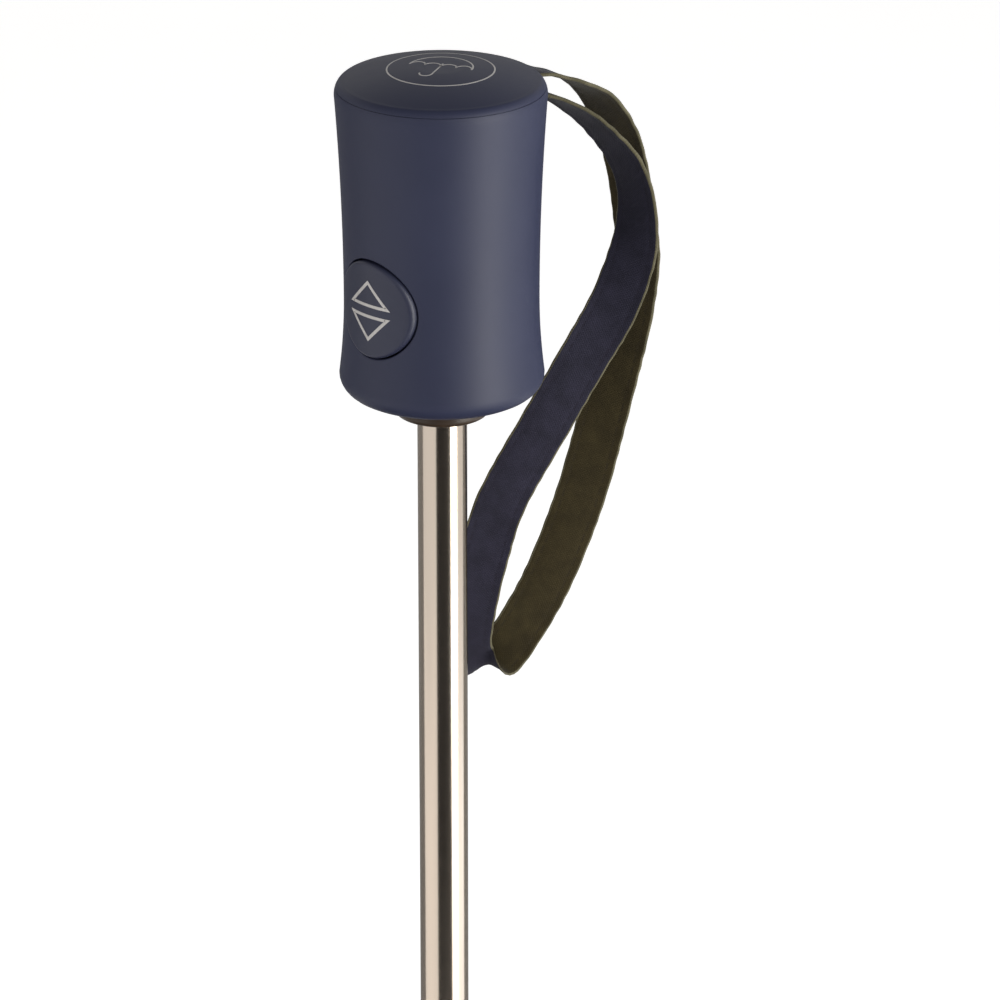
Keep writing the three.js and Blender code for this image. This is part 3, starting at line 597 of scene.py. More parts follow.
soft_touch, soft_tree, soft_shader = new_material("soft_touch_coat", (0.016, 0.019, 0.042), 0.5)
SOFT_NAVY = [(0.35, (0.0148, 0.0175, 0.0395)), (0.65, (0.0166, 0.0196, 0.0435))]
soft_tone = ramp(soft_tree, object_noise(soft_tree, 45.0, 3.0), SOFT_NAVY)
soft_tree.links.new(soft_tone, soft_shader.inputs["Base Color"])
soft_gloss = node(soft_tree, "ShaderNodeMapRange", {0: object_noise(soft_tree, 90.0), 3: 0.47, 4: 0.55})
soft_tree.links.new(soft_gloss.outputs[0], soft_shader.inputs["Roughness"])
bump(soft_tree, soft_shader, object_noise(soft_tree, 5200.0, 2.0), 0.012 * MM, 0.35)
soft_shader.inputs["Specular IOR Level"].default_value = 0.29

grip_mesh = joined_mesh("grip_shell", [(grip_grid, True, True, kept_cells), (patch_grid, False, True, None)])
grip_shell = link_object("grip_shell", grip_mesh, soft_touch)
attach(grip_shell, "handle")
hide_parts("handle_shell")

# ---------------------------------------------------------------------------------------------
# End cap: a low dome of the same coated plastic, pressed into the grip with a hairline seam. A
# plain printed ring with a small umbrella sign lies on its crown.
# ---------------------------------------------------------------------------------------------
cap_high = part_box("end_cap")[1]
SEAM_Z = shell_high.z + 0.09 * MM
DOME_TOP = cap_high.z + 0.15 * MM
DOME_SPHERE_R = 62.5 * MM


def dome_height(r):
    """The crown: a shallow paraboloid, levelled off at the cap's full height."""
    return np.minimum(DOME_TOP + 0.05 * MM - r**2 / (2 * DOME_SPHERE_R), cap_high.z)


edge_turn = np.linspace(math.asin((SEAM_Z - RIM_Z) / SHOULDER_RISE), math.radians(75), 9)
cap_edge = shoulder(edge_turn)
dome_r = np.linspace(cap_edge[-1, 0] - 0.25 * MM, 0, 40)
cap_profile = np.vstack([
    [[0, SEAM_Z - 0.6 * MM], [cap_edge[0, 0] - 1 * MM, SEAM_Z - 0.6 * MM]],
    [[cap_edge[0, 0] - 0.9 * MM, SEAM_Z]],
    [[cap_edge[0, 0] - 0.12 * MM, SEAM_Z]],
    cap_edge + np.array([[0, 0.0001 * MM]]),
    np.stack([dome_r, dome_height(dome_r)], -1),
])
cap_mesh = revolved("cap_dome", cap_profile, 160)
cap_dome = link_object("cap_dome", cap_mesh, soft_touch)
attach(cap_dome, "handle")
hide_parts("end_cap")

PRINT_TURN = math.radians(27)
PRINT_RAISE = 0.04 * MM


def printed_line(points, width, closed=False):
    """A painted line along flat (x, y) points: offsets to both sides by half the width, mitred at the
    corners. Returns the two edges, as [2, n, xy]."""
    points = np.array(points, float)
    if closed:
        before, after = np.roll(points, 1, 0), np.roll(points, -1, 0)
    else:
        before = np.vstack([2 * points[0] - points[1], points[:-1]])
        after = np.vstack([points[1:], 2 * points[-1] - points[-2]])
    into, out = unit(points - before), unit(after - points)
    left = np.stack([-into[:, 1] - out[:, 1], into[:, 0] + out[:, 0]], -1)
    left = unit(left)
    reach = width / 2 / np.maximum(0.35, np.sum(left * np.stack([-into[:, 1], into[:, 0]], -1), 1))
    edge = left * reach[:, None]
    return np.stack([points - edge, points + edge])


def printed_mesh(name, lines, lift):
    """Raised paint: each line's two edges are laid on the surface by lift(x, y, height) and
    closed underneath, a little inside the surface."""
    grids = []
    for edges, closed in lines:
        top = lift(edges[..., 0], edges[..., 1], PRINT_RAISE)
        under = lift(edges[..., 0], edges[..., 1], -PRINT_RAISE)
        section = np.stack([under[0], top[0], top[1], under[1]])
        if not closed:
            section = np.concatenate([section[:, :1].mean(0, keepdims=True).repeat(4, 0), section,
                                      section[:, -1:].mean(0, keepdims=True).repeat(4, 0)], 1)
        grids.append((section, True, closed, None))
    return joined_mesh(name, grids)


def finely(points, step=0.4):
    """The same broken line with extra points, no further apart than the step."""
    points = np.array(points, float)
    fine = []
    for start, end in zip(points[:-1], points[1:]):
        count = max(1, int(np.ceil(np.linalg.norm(end - start) / step)))
        fine.append(start + (end - start) * (np.arange(count) / count)[:, None])
    fine.append(points[-1:])
    return np.vstack(fine)


def arc(x, y, radius, start, end, steps=24):
    a = np.radians(np.linspace(start, end, steps))
    return np.stack([x + radius * np.cos(a), y + radius * np.sin(a)], -1)


def on_dome(x, y, height):
    """Lays sign coordinates in millimetres on the crown, turned about the shaft."""
    x, y = x * MM, y * MM
    wide = x * math.cos(PRINT_TURN) - y * math.sin(PRINT_TURN)
    deep = x * math.sin(PRINT_TURN) + y * math.cos(PRINT_TURN)
    return np.stack([wide, deep, dome_height(np.hypot(x, y)) + height], -1)


LINE = 0.3
sign_ring = arc(0, 0, 10.6, 0, 360, 145)[:-1]
sign_canopy = arc(0, -0.2, 6.4, 0, 180, 40)
sign_hem = np.vstack([arc(x, -0.2, 1.6, 0, 180, 12) for x in (4.8, 1.6, -1.6, -4.8)])
sign_shaft = finely([(0, 1.4), (0, -5.2)])
sign_hook = arc(-1.3, -5.2, 1.3, 0, -180, 16)
sign_lines = [
    (printed_line(sign_ring, LINE, True), True),
    (printed_line(sign_canopy, LINE), False),
    (printed_line(sign_hem, LINE), False),
    (printed_line(np.vstack([sign_shaft, sign_hook[1:]]), LINE), False),
]
silver_print, print_tree, print_shader = new_material("silver_print", (0.36, 0.35, 0.345), 0.45, 0.2)
PRINT_GREY = [(0.3, (0.33, 0.32, 0.315)), (0.7, (0.39, 0.38, 0.375))]
print_tone = ramp(print_tree, object_noise(print_tree, 900.0), PRINT_GREY)
print_tree.links.new(print_tone, print_shader.inputs["Base Color"])
cap_sign = link_object("cap_sign", printed_mesh("cap_sign", sign_lines, on_dome), silver_print)
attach(cap_sign, "handle")

# ---------------------------------------------------------------------------------------------
# Push button: a round key that follows the grip's curve and stands a little proud of it, with a soft bevel
# and two printed triangles (open and close).
# ---------------------------------------------------------------------------------------------
BUTTON_PROUD = 0.75 * MM
BUTTON_BEVEL = 0.7 * MM
BUTTON_SKIRT = 3.4 * MM


def key_depth(x, z):
    """The face's y: the grip's own wall, moved out by the proud height."""
    return -np.sqrt((grip_radius(z) + BUTTON_PROUD) ** 2 - x**2)


key_turn = np.arange(120) * 2 * np.pi / 120
key_rings = []
for share in np.linspace(0, 1, 15):
    radius = (BUTTON_R - BUTTON_BEVEL) * share
    key_rings.append((radius, 0.0))
for turn in np.linspace(0, np.pi / 2, 7)[1:]:
    key_rings.append((BUTTON_R - BUTTON_BEVEL * (1 - math.sin(turn)), BUTTON_BEVEL * (1 - math.cos(turn))))
key_rings.append((BUTTON_R, BUTTON_SKIRT))
key_rings.append((BUTTON_R - 1.2 * MM, BUTTON_SKIRT))
key_rings.append((0.0, BUTTON_SKIRT - 1 * MM))
key_grid = []
for radius, depth in key_rings:
    x = radius * np.cos(key_turn)
    z = BUTTON_Z + radius * np.sin(key_turn)
    key_grid.append(np.stack([x, key_depth(x, z) + depth, z], -1))
button_coat, button_tree, button_shader = new_material("button_coat", (0.018, 0.02, 0.035), 0.42)
BUTTON_NAVY = [(0.35, (0.0158, 0.018, 0.0365)), (0.65, (0.0178, 0.020, 0.0405))]
button_tone = ramp(button_tree, object_noise(button_tree, 60.0), BUTTON_NAVY)
button_tree.links.new(button_tone, button_shader.inputs["Base Color"])
button_shader.inputs["Specular IOR Level"].default_value = 0.35
bump(button_tree, button_shader, object_noise(button_tree, 4200.0, 2.0), 0.01 * MM, 0.3)
key_mesh = joined_mesh("button_key", [(np.stack(key_grid), False, True, None)])
button_key = link_object("button_key", key_mesh, button_coat)
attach(button_key, "button")
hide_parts("push_button")


def on_key(x, y, height):
    """Lays sign coordinates in millimetres, x to the right and y up, on the button's face."""
    x, z = x * MM, y * MM + BUTTON_Z
    return np.stack([x, key_depth(x, z) - height, z], -1)


MARK_LINE = 0.62
MARK_HALF = 4.72
MARK_TALL = 4.75
MARK_GAP = 1.13
mark_lines = []
for side in (1, -1):
    base = side * MARK_GAP - 0.1
    apex = (0, base + side * MARK_TALL)
    corners = [apex, (-MARK_HALF, base), (MARK_HALF, base), apex]
    mark_lines.append((printed_line(finely(corners)[:-1], MARK_LINE, True), True))
key_marks = link_object("button_marks", printed_mesh("button_marks", mark_lines, on_key), silver_print)
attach(key_marks, "button")

# ---------------------------------------------------------------------------------------------
# Collar: a brown-black plug of satin plastic with a rounded lower edge, pressed into the grip's
# mouth round the tube.
# ---------------------------------------------------------------------------------------------
collar_low, collar_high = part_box("handle_collar")
tube_low, tube_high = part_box("lower_tube")
TUBE_R = (tube_high.x - tube_low.x) / 2
COLLAR_R = collar_high.x
bowl_turn = np.linspace(0, np.pi / 2, 10)
BOWL_ROUND = 1.4 * MM
bowl_r = COLLAR_R - BOWL_ROUND * (1 - np.cos(bowl_turn))
bowl_z = collar_low.z + BOWL_ROUND * (1 - np.sin(bowl_turn)) + 0.25 * MM
collar_profile = np.vstack([
    [[TUBE_R + 0.12 * MM, collar_high.z], [COLLAR_R, collar_high.z], [COLLAR_R, shell_low.z]],
    np.stack([bowl_r, bowl_z], -1),
    [[TUBE_R + 0.6 * MM, collar_low.z], [TUBE_R + 0.12 * MM, collar_low.z + 0.4 * MM]],
])
collar_coat, collar_tree, collar_shader = new_material("collar_plastic", (0.027, 0.018, 0.012), 0.36)
COLLAR_BROWN = [(0.35, (0.023, 0.0145, 0.0095)), (0.65, (0.031, 0.0205, 0.0135))]
collar_tone = ramp(collar_tree, object_noise(collar_tree, 80.0), COLLAR_BROWN)
collar_tree.links.new(collar_tone, collar_shader.inputs["Base Color"])
collar_shader.inputs["Specular IOR Level"].default_value = 0.28
handle_bowl = link_object("collar_bowl", revolved("collar_bowl", collar_profile, 96), collar_coat)
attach(handle_bowl, "handle")
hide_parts("handle_collar")

# ---------------------------------------------------------------------------------------------
# Shaft: a plated steel tube drawn smooth, with a narrower tube that slides into it.
# ---------------------------------------------------------------------------------------------
plated, plated_tree, plated_shader = new_material("nickel_plate", (0.60, 0.515, 0.43), 0.15, 1.0)
DRAWN = (1, 1, 0.08)  # the marks of drawing run along the tube
NICKEL = [(0.3, (0.53, 0.45, 0.375)), (0.7, (0.58, 0.5, 0.42))]
plated_tone = ramp(plated_tree, object_noise(plated_tree, 60.0, 3.0, DRAWN), NICKEL)
plated_tree.links.new(plated_tone, plated_shader.inputs["Base Color"])
plated_marks = object_noise(plated_tree, 700.0, 4.0, (1, 1, 0.03))
plated_gloss = node(plated_tree, "ShaderNodeMapRange", {0: plated_marks, 3: 0.13, 4: 0.2})
plated_tree.links.new(plated_gloss.outputs[0], plated_shader.inputs["Roughness"])


def tube_mesh(name, low, high, outer, bore, edge=0.15 * MM):
    """An open tube with its end edges eased."""
    profile = [
        (bore, low + edge),
        (bore + edge, low),
        (outer - edge, low),
        (outer, low + edge),
        *[(outer, z) for z in np.linspace(low + edge, high - edge, 24)[1:-1]],
        (outer, high - edge),
        (outer - edge, high),
        (bore + edge, high),
        (bore, high - edge),
    ]
    return revolved(name, profile, 96)


lower_mesh = tube_mesh("handle_tube", tube_low.z, tube_high.z, TUBE_R, TUBE_R - 0.4 * MM)
lower_tube = link_object("handle_tube", lower_mesh, plated)
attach(lower_tube, "handle")
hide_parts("lower_tube")

upper_low, upper_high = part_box("upper_tube")
UPPER_R = upper_high.x
upper_mesh = tube_mesh("sliding_tube", upper_low.z, upper_high.z, UPPER_R, UPPER_R - 0.6 * MM)
sliding_tube = link_object("sliding_tube", upper_mesh, plated)
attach(sliding_tube, "upper_shaft")
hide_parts("upper_tube")

# ---------------------------------------------------------------------------------------------
# Small inner parts: the chassis in the grip, the bush and plug of the slide, the crown and both springs, of
# moulded plastic and drawn wire.
# ---------------------------------------------------------------------------------------------


def dress(names, material):
    """Gives engineered parts a finish of their own."""
    for name in names:
        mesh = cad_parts[name].data
        mesh.materials.clear()
        mesh.materials.append(material)


def speckled(name, dark, light, rough, metallic=0.0, grain=220.0, depth=0.01):
    """A moulded or drawn finish: two close tones in a fine grain, with a slight bump."""
    made, tree, shader = new_material(name, dark, rough, metallic)
    tone = ramp(tree, object_noise(tree, grain), [(0.35, dark), (0.65, light)])
    tree.links.new(tone, shader.inputs["Base Color"])
    bump(tree, shader, object_noise(tree, grain * 8, 2.0), depth * MM, 0.4)
    return made


nylon = speckled("black_nylon", (0.012, 0.012, 0.014), (0.020, 0.020, 0.023), 0.42)
moulding = speckled("brown_black_moulding", (0.024, 0.018, 0.015), (0.034, 0.026, 0.022), 0.3)
drawn_wire = speckled("drawn_wire", (0.34, 0.34, 0.35), (0.45, 0.45, 0.46), 0.3, 1.0, 900.0, 0.006)
black_lacquer = speckled("black_lacquer", (0.010, 0.010, 0.012), (0.018, 0.018, 0.020), 0.28, 0.0, 320.0)
dress(["handle_core", "slide_plug", "spring_seat", "tube_end_bush"], moulding)
dress(["button_spring", "drive_spring", "strap_bar", "crown_ring_wire"], drawn_wire)
dress(["crown"], nylon)
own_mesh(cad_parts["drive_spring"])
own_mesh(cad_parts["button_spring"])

# ---------------------------------------------------------------------------------------------
# Runner: a black nylon slider whose flange holds the stretchers' inner eyes on a wire ring, with
# finger ribs below it where a hand would pull it down.
# ---------------------------------------------------------------------------------------------
runner_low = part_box("runner")[0]
RUNNER_SLEEVE = 6.8 * MM
flange_z = runner_low.z + 20 * MM
dress(["runner"], nylon)
finger_profile = [(RUNNER_SLEEVE - 0.4 * MM, runner_low.z + 1.6 * MM)]
for ridge in range(5):
    ridge_z = runner_low.z + (2.5 + 2.6 * ridge) * MM
    for out, up in ((0.1, 0), (0.6, 0.3), (0.8, 0.8), (0.6, 1.3), (0.1, 1.6)):
        finger_profile.append((RUNNER_SLEEVE + out * MM, ridge_z + up * MM))
finger_profile.append((RUNNER_SLEEVE - 0.4 * MM, ridge_z + 2.4 * MM))
finger_profile.append(finger_profile[0])
finger_ridges = link_object("finger_ridges", revolved("finger_ridges", finger_profile, 72), nylon)
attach(finger_ridges, "runner")


def wire_ring(name, radius, thick, z, body, material):
    """A closed ring of round wire about the shaft, as a circle carried round a circle."""
    turn = np.linspace(0, 2 * np.pi, 13)
    section = np.stack([radius + thick * np.cos(turn), z + thick * np.sin(turn)], -1)
    ring = link_object(name, revolved(name, section, 96), material)
    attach(ring, body)


wire_ring("runner_ring_wire", 9.5 * MM, 0.6 * MM, flange_z, "runner", drawn_wire)

# ---------------------------------------------------------------------------------------------
# Ferrule: a dark moulded tip screwed on the shaft below the crown, which clamps the cloth and on
# which the open umbrella stands.
# ---------------------------------------------------------------------------------------------
ferrule_low, ferrule_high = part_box("ferrule_cap")
tip = ferrule_low.z
ferrule_profile = rounded([
    (0, tip),
    (3.5 * MM, tip),
    (5.0 * MM, tip + 1.5 * MM),
    (5.3 * MM, tip + 10 * MM),
    (5.6 * MM, ferrule_high.z - 9 * MM),
    (7 * MM, ferrule_high.z - 4 * MM),
    (10.6 * MM, ferrule_high.z - 1.4 * MM),
    (11 * MM, ferrule_high.z),
    (4.5 * MM, ferrule_high.z),
    (4.5 * MM, ferrule_high.z - 12 * MM),
    (0, ferrule_high.z - 12 * MM),
], 0.8 * MM, 4)
ferrule_tip = link_object("ferrule_tip", revolved("ferrule_tip", ferrule_profile, 72), moulding)
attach(ferrule_tip, "upper_shaft")
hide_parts("ferrule_cap")

# ---------------------------------------------------------------------------------------------
# Ribs: eight lacquered steel channels in two sections, with stretchers from the runner and bare
# steel links that turn the outer section over as the umbrella closes.
# ---------------------------------------------------------------------------------------------
RIBS = 8
HALF_GORE = math.pi / RIBS
crown_low, crown_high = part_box("crown")
PIVOT_Z = crown_high.z - 4 * MM
PIVOT_R = 12 * MM
INNER_SLOPE = math.radians(14)
INNER_LENGTH = 265 * MM
OUTER_LENGTH = 255 * MM
OUTER_SLOPES = math.radians(20), math.radians(40)
CHORD_SLOPE = math.radians(30)
RIB_HALF = 1.5 * MM
RIB_DEEP = 1.6 * MM
INNER_CLOTH = 3.4 * MM  # the cloth lies this far under the inner rib's middle line
ELBOW_CLOTH = 5.9 * MM
OUTER_CLOTH = 2.5 * MM

inner_direction = np.array([math.cos(INNER_SLOPE), math.sin(INNER_SLOPE)])
inner_normal = np.array([math.sin(INNER_SLOPE), -math.cos(INNER_SLOPE)])
rib_root = np.array([PIVOT_R, PIVOT_Z])
elbow_point = rib_root + INNER_LENGTH * inner_direction
outer_run = np.linspace(0, 1, 61)
outer_slope = OUTER_SLOPES[0] + (OUTER_SLOPES[1] - OUTER_SLOPES[0]) * outer_run
outer_steps = np.stack([np.cos(outer_slope), np.sin(outer_slope)], -1) * OUTER_LENGTH / 60
outer_steps = (outer_steps[1:] + outer_steps[:-1]) / 2
outer_line = elbow_point + np.concatenate([[[0, 0]], np.cumsum(outer_steps, axis=0)])
outer_normal = np.stack([np.sin(outer_slope), -np.cos(outer_slope)], -1)
inner_run = np.linspace(40 * MM, INNER_LENGTH, 60)


def bowed(center_line, normals, half, deep, azimuth):
    """A bar of rounded rectangular section along a curved line in a rib's plane: the section's
    corners are superellipse points |v/half|^4 + |w/deep|^4 = 1."""
    turn = np.arange(20) * 2 * np.pi / 20
    cosine, sine = np.cos(turn), np.sin(turn)
    v = half * np.sign(cosine) * np.abs(cosine) ** 0.5
    w = deep * np.sign(sine) * np.abs(sine) ** 0.5
    r = center_line[:, None, 0] + normals[:, None, 0] * w
    z = center_line[:, None, 1] + normals[:, None, 1] * w
    x = r * math.cos(azimuth) + v * math.sin(azimuth)
    y = r * math.sin(azimuth) - v * math.cos(azimuth)
    grid = np.stack([x, y, np.broadcast_to(z, r.shape)], -1)
    first, last = (grid[end].mean(1, keepdims=True).repeat(20, 1) for end in (slice(0, 1), slice(-1, None)))
    return np.concatenate([first, grid, last])


cloth_tips = speckled("rib_tip_plastic", (0.010, 0.010, 0.012), (0.016, 0.016, 0.018), 0.35)
for rib in range(RIBS):
    number = rib + 1
    azimuth = 2 * HALF_GORE * rib
    dress([f"inner_rib_{number}", f"stretcher_{number}"], black_lacquer)
    dress([f"link_{number}"], drawn_wire)
    dress([f"outer_rib_{number}"], black_lacquer)
    rib_name = f"bowed_rib_{number}"
    bow = bowed(outer_line[2:-1], outer_normal[2:-1], RIB_HALF, RIB_DEEP, azimuth)
    bow_piece = link_object(rib_name, joined_mesh(rib_name, [(bow, False, True, None)]), black_lacquer)
    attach(bow_piece, f"outer_rib_{number}")
    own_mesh(bow_piece)
    tip_name = f"rib_tip_{number}"
    tip_line = outer_line[-3:] + (outer_line[-1] - outer_line[-3]) * np.array([[0], [0.15], [0.3]])
    tip_shape = bowed(tip_line, outer_normal[-3:], 2.1 * MM, 2.2 * MM, azimuth)
    tip_piece = link_object(tip_name, joined_mesh(tip_name, [(tip_shape, False, True, None)]), cloth_tips)
    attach(tip_piece, f"outer_rib_{number}")

# ---------------------------------------------------------------------------------------------
# Canopy: eight gores of pongee, navy outside and olive inside, seamed over the ribs, clamped at the crown and
# sewn to the rib tips. Each half gore follows its own rib.
# ---------------------------------------------------------------------------------------------
CLAMP_R = 14 * MM
CLAMP_Z = crown_low.z - 0.3 * MM
CLOTH_THICK = 0.2 * MM
SEAM_WIDE = 1.2 * MM
SAG = 9 * MM
SCALLOP = 24 * MM
WRINKLE = 0.9 * MM
ELBOW_EASE = 14 * MM
inner_near = np.exp(-(((inner_run - INNER_LENGTH) / ELBOW_EASE) ** 2))
inner_cloth = INNER_CLOTH + (ELBOW_CLOTH - INNER_CLOTH) * inner_near
inner_points = rib_root + inner_run[:, None] * inner_direction + inner_cloth[:, None] * inner_normal
outer_near = np.exp(-((outer_run * OUTER_LENGTH / ELBOW_EASE) ** 2))
outer_cloth = OUTER_CLOTH + (ELBOW_CLOTH - OUTER_CLOTH) * outer_near
outer_points = outer_line + outer_cloth[:, None] * outer_normal
fair_t = np.linspace(0, 1, 12)[:-1, None]
fair_start = np.array([CLAMP_R, CLAMP_Z])
fair_bend = np.array([CLAMP_R + 14 * MM, CLAMP_Z])
fairing = (1 - fair_t) ** 2 * fair_start + 2 * fair_t * (1 - fair_t) * fair_bend
fairing = fairing + fair_t**2 * inner_points[0]
cloth_line = np.vstack([[[4.6 * MM, CLAMP_Z]], fairing, inner_points, outer_points[3:]])
ELBOW_M = (elbow_point[0] + 0.5 * MM) * math.cos(HALF_GORE)
CROWN_M = cloth_line[0, 0] * math.cos(HALF_GORE)
RIM_M = cloth_line[-1, 0] * math.cos(HALF_GORE)


def gore_point(m, aside, middle, side):
    """A point of a gore, m away from the shaft along the gore's middle; aside runs from the rib
    (0) to that middle (1). The cloth is level from rib to rib, pulled in by a sag and wrinkles:
    z = line(m / cos 22.5) + SAG sin(pi q)(2a - a^2) + WRINKLE sin(9 pi a + 4q) 4 q a(1 - a) sin(pi q)."""
    a = aside[None, :]
    hem = RIM_M - SCALLOP * (2 * a - a**2)
    q = np.clip((m - CROWN_M) / (hem - CROWN_M), 0, 1)
    z = np.interp(m / math.cos(HALF_GORE), cloth_line[:, 0], cloth_line[:, 1])
    z = z + SAG * np.sin(np.pi * q) * (2 * a - a**2)
    z = z + WRINKLE * np.sin(9 * np.pi * a + 4 * q) * np.sin(np.pi * q) * 4 * a * (1 - a) * q
    n = side * (1 - a) * m * math.tan(HALF_GORE)
    x = m * math.cos(middle) - n * math.sin(middle)
    y = m * math.sin(middle) + n * math.cos(middle)
    return np.stack([x, y, z], -1)


def cloth_panel(name, rows, middle, side):
    """A thin closed panel: navy face and olive face that meet along all four edges."""
    face = gore_point(rows(ASIDE[None, :]), ASIDE, middle, side)
    depth = np.ones(face.shape[:2])
    depth[[0, -1]] = 0
    depth[:, [0, -1]] = 0
    inner_face = face + np.array([0, 0, CLOTH_THICK]) * depth[..., None]
    mesh = joined_mesh(name, [(face, False, False, None), (inner_face, False, False, None)], math.radians(80))
    points = np.empty(len(mesh.vertices) * 3)
    mesh.vertices.foreach_get("co", points)
    points = points.reshape(-1, 3)
    along = points[:, 0] * math.cos(middle) + points[:, 1] * math.sin(middle)
    across = np.abs(points[:, 1] * math.cos(middle) - points[:, 0] * math.sin(middle))
    aside = 1 - across / (along * math.tan(HALF_GORE))
    from_hem = RIM_M - SCALLOP * (2 * aside - aside**2) - along
    from_rib = (along * math.tan(HALF_GORE) - across) * math.cos(HALF_GORE)
    for key, values in (("from_hem", from_hem), ("from_rib", from_rib)):
        mesh.attributes.new(key, "FLOAT", "POINT").data.foreach_set("value", values.astype(np.float32))
    return mesh


def math_node(tree, operation, *values):
    """A Math node's result for the given numbers or links."""
    return node(tree, "ShaderNodeMath", dict(enumerate(values)), operation=operation).outputs[0]


def pongee(name, dark, light):
    """Thin woven polyester: a fine matt weave, darker in broad soft patches, with stitched lines at
    set distances from the hem and from the seams over the ribs."""
    made, tree, shader = new_material(name, dark, 0.85)
    tone = ramp(tree, object_noise(tree, 14.0), [(0.35, dark), (0.65, light)])
    lines = None
    for key, distance in (("from_hem", 9 * MM), ("from_hem", 1.5 * MM), ("from_rib", 4 * MM)):
        gap = node(tree, "ShaderNodeAttribute", attribute_name=key).outputs["Fac"]
        line = math_node(tree, "COMPARE", gap, distance, 0.5 * MM)
        lines = line if lines is None else math_node(tree, "MAXIMUM", line, lines)
    thread = (*[channel * 0.35 for channel in dark], 1)
    stitched = {0: math_node(tree, "MULTIPLY", lines, 0.6), 6: tone, 7: thread}
    mixed = node(tree, "ShaderNodeMix", stitched, data_type="RGBA")
    tree.links.new(mixed.outputs[2], shader.inputs["Base Color"])
    bump(tree, shader, object_noise(tree, 1400.0, 2.0), 0.05 * MM, 0.35)
    shader.inputs["Specular IOR Level"].default_value = 0.1
    return made


navy_cloth = pongee("navy_pongee", (0.013, 0.0125, 0.026), (0.018, 0.017, 0.036))
olive_cloth = pongee("olive_pongee", (0.031, 0.0255, 0.0115), (0.041, 0.0335, 0.0155))
INNER_KEEP = 0.07  # widths of the pleats in the closed bundle, as shares of the open gore
OUTER_KEEP = 0.06
INNER_LEAN = math.radians(4.1)
OUTER_LEAN = math.radians(-3.4)
ASIDE = np.concatenate([[0, 0.012], np.linspace(0.05, 0.95, 13), [0.988, 1]])
FOLD_SLOPE = math.tan(math.radians(17))


def seamed(count, length):
    """Shares of a length, evenly spread but with a seam's width at both ends."""
    edge = SEAM_WIDE / length
    return np.concatenate([[0], np.linspace(edge, 1 - edge, count), [1]])[:, None]


def fold_row(aside):
    """Where the gore turns over as the umbrella folds: the plane through the elbow that is square
    to the rib, found by moving each point along the gore until it lies in that plane."""
    m = elbow_point[0] / (math.cos(HALF_GORE) + (1 - aside) * math.tan(HALF_GORE) * math.sin(HALF_GORE))
    flat = m.copy()
    for _ in range(12):
        rise = gore_point(m, aside.ravel(), 0.0, 1)[..., 2] - elbow_point[1]
        m = flat * (1 - FOLD_SLOPE * rise / elbow_point[0])
    return m


def inner_rows(aside):
    return CROWN_M + (fold_row(aside) - CROWN_M) * seamed(30, INNER_LENGTH)


def outer_rows(aside):
    hem = RIM_M - SCALLOP * (2 * aside - aside**2)
    start = fold_row(aside)
    return start + (hem - start) * seamed(26, OUTER_LENGTH)


GORE_SECTIONS = (
    ("inner", inner_rows, INNER_SLOPE, INNER_LEAN, INNER_KEEP),
    ("outer", outer_rows, CHORD_SLOPE, OUTER_LEAN, OUTER_KEEP),
)
cloth_parts = []
for rib in range(RIBS):
    number = rib + 1
    azimuth = 2 * HALF_GORE * rib
    for toward, letter in ((1, "l"), (-1, "r")):
        middle = azimuth + toward * HALF_GORE
        for section, rows, slope, lean, keep in GORE_SECTIONS:
            name = f"gore_{section}_{number}{letter}"
            panel = link_object(name, cloth_panel(name, rows, middle, -toward), navy_cloth, olive_cloth)
            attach(panel, f"{section}_rib_{number}")
            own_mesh(panel)
            cloth_parts.append((panel, section, number))
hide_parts("canopy")


def flat_area(rows):
    """The cut area of one half gore, from its own points."""
    face = gore_point(rows(ASIDE[None, :]), ASIDE, 0.0, 1)
    u, v = np.diff(face, axis=0)[:, :-1], np.diff(face, axis=1)[:-1]
    return float(np.linalg.norm(np.cross(u, v), axis=-1).sum())


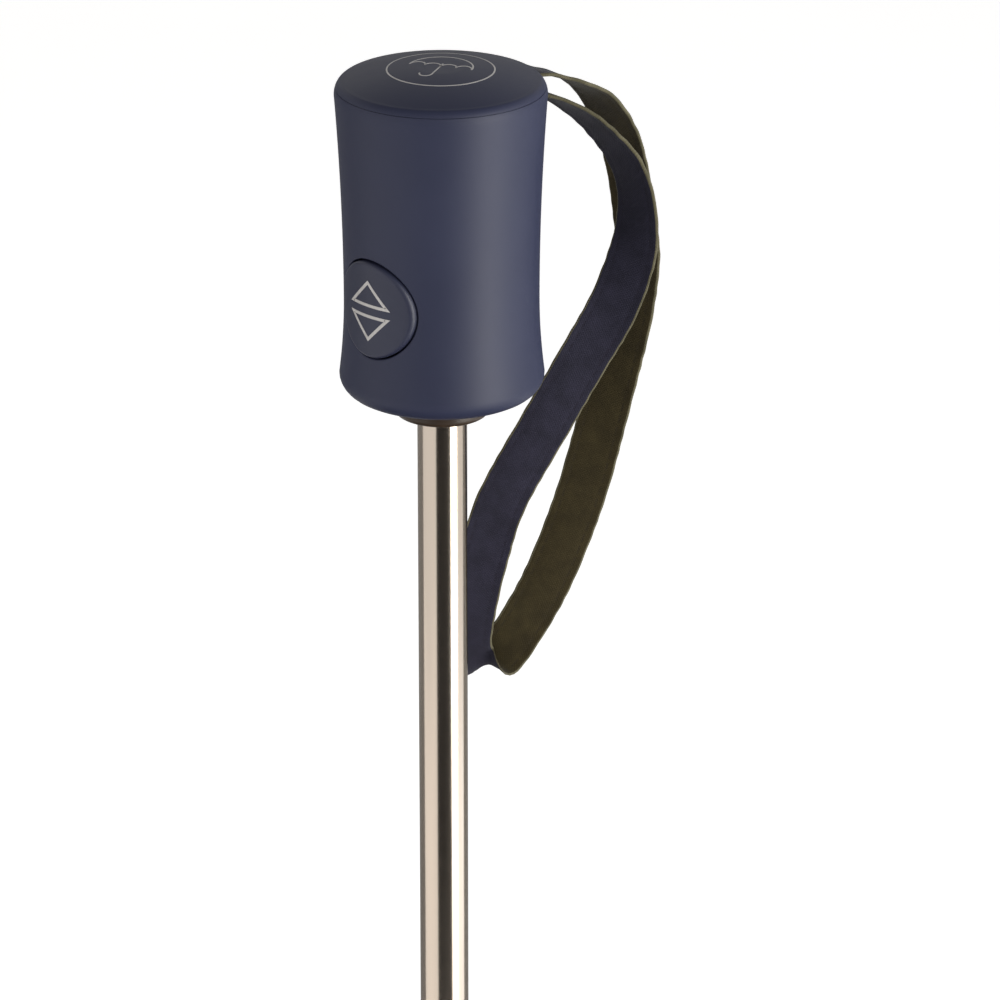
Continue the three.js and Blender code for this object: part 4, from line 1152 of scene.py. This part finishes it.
SELVAGE = 1.02  # the cloth is cut a little wider than it shows
FLAT_SIZES = {
    "inner": (ELBOW_M * math.tan(HALF_GORE) * SELVAGE, INNER_LENGTH, flat_area(inner_rows)),
    "outer": (RIM_M * math.tan(HALF_GORE) * SELVAGE, OUTER_LENGTH, flat_area(outer_rows)),
}
for panel, section, number in cloth_parts:
    rib = f"inner_rib_{number}"

# ---------------------------------------------------------------------------------------------
# Tie band: a short navy band of the canopy's cloth, sewn to the hem beside the first rib, with
# a pressed steel stud through its free end.
# ---------------------------------------------------------------------------------------------
BAND_LONG = 0.4  # how far along the half gore's hem it reaches, as a share
BAND_WIDE = 16 * MM
BAND_THICK = 0.8 * MM
BAND_OUT = 0.6 * MM
band_aside = np.concatenate([[0.02], np.linspace(0.025, BAND_LONG, 16)])
band_middle = np.linspace(1.5 * MM, BAND_WIDE - 1.5 * MM, 6)
band_in = np.concatenate([[0, 0.5 * MM], band_middle, [BAND_WIDE - 0.5 * MM, BAND_WIDE]])
band_hem = RIM_M - SCALLOP * (2 * band_aside - band_aside**2)
band_face = gore_point(band_hem[None, :] - 1 * MM - band_in[:, None], band_aside, HALF_GORE, -1)
band_face[..., 2] -= BAND_OUT
band_depth = np.ones(band_face.shape[:2])
band_depth[[0, -1]] = 0
band_depth[:, [0, -1]] = 0
band_back = band_face - np.array([0, 0, BAND_THICK]) * band_depth[..., None]
band_grids = [(band_face, False, False, None), (band_back, False, False, None)]
band_navy = pongee("band_navy", (0.013, 0.0125, 0.026), (0.018, 0.017, 0.036))
hem_band = link_object("hem_band", joined_mesh("hem_band", band_grids, math.radians(60)), band_navy)
stud_spot = band_back[5, -4]
stud_turn = np.arange(25) * 2 * np.pi / 24
stud_profile = [(0, -1.6), (2.6, -1.5), (4.2, -1.0), (5.0, -0.3), (5.0, 0.3)]
stud_rings = [np.stack([r * np.cos(stud_turn), r * np.sin(stud_turn), 0 * stud_turn + z], -1) * MM + stud_spot
              for r, z in stud_profile]
stud_mesh = joined_mesh("snap_stud", [(np.stack(stud_rings), False, True, None)])
snap_stud = link_object("snap_stud", stud_mesh, drawn_wire)
band_pieces = (hem_band, "tie_band", "canopy_cloth"), (snap_stud, "band_stud", "nickel_tube")
for piece, stands_for, slot_name in band_pieces:
    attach(piece, "outer_rib_1")
    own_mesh(piece)
    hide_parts(stands_for)
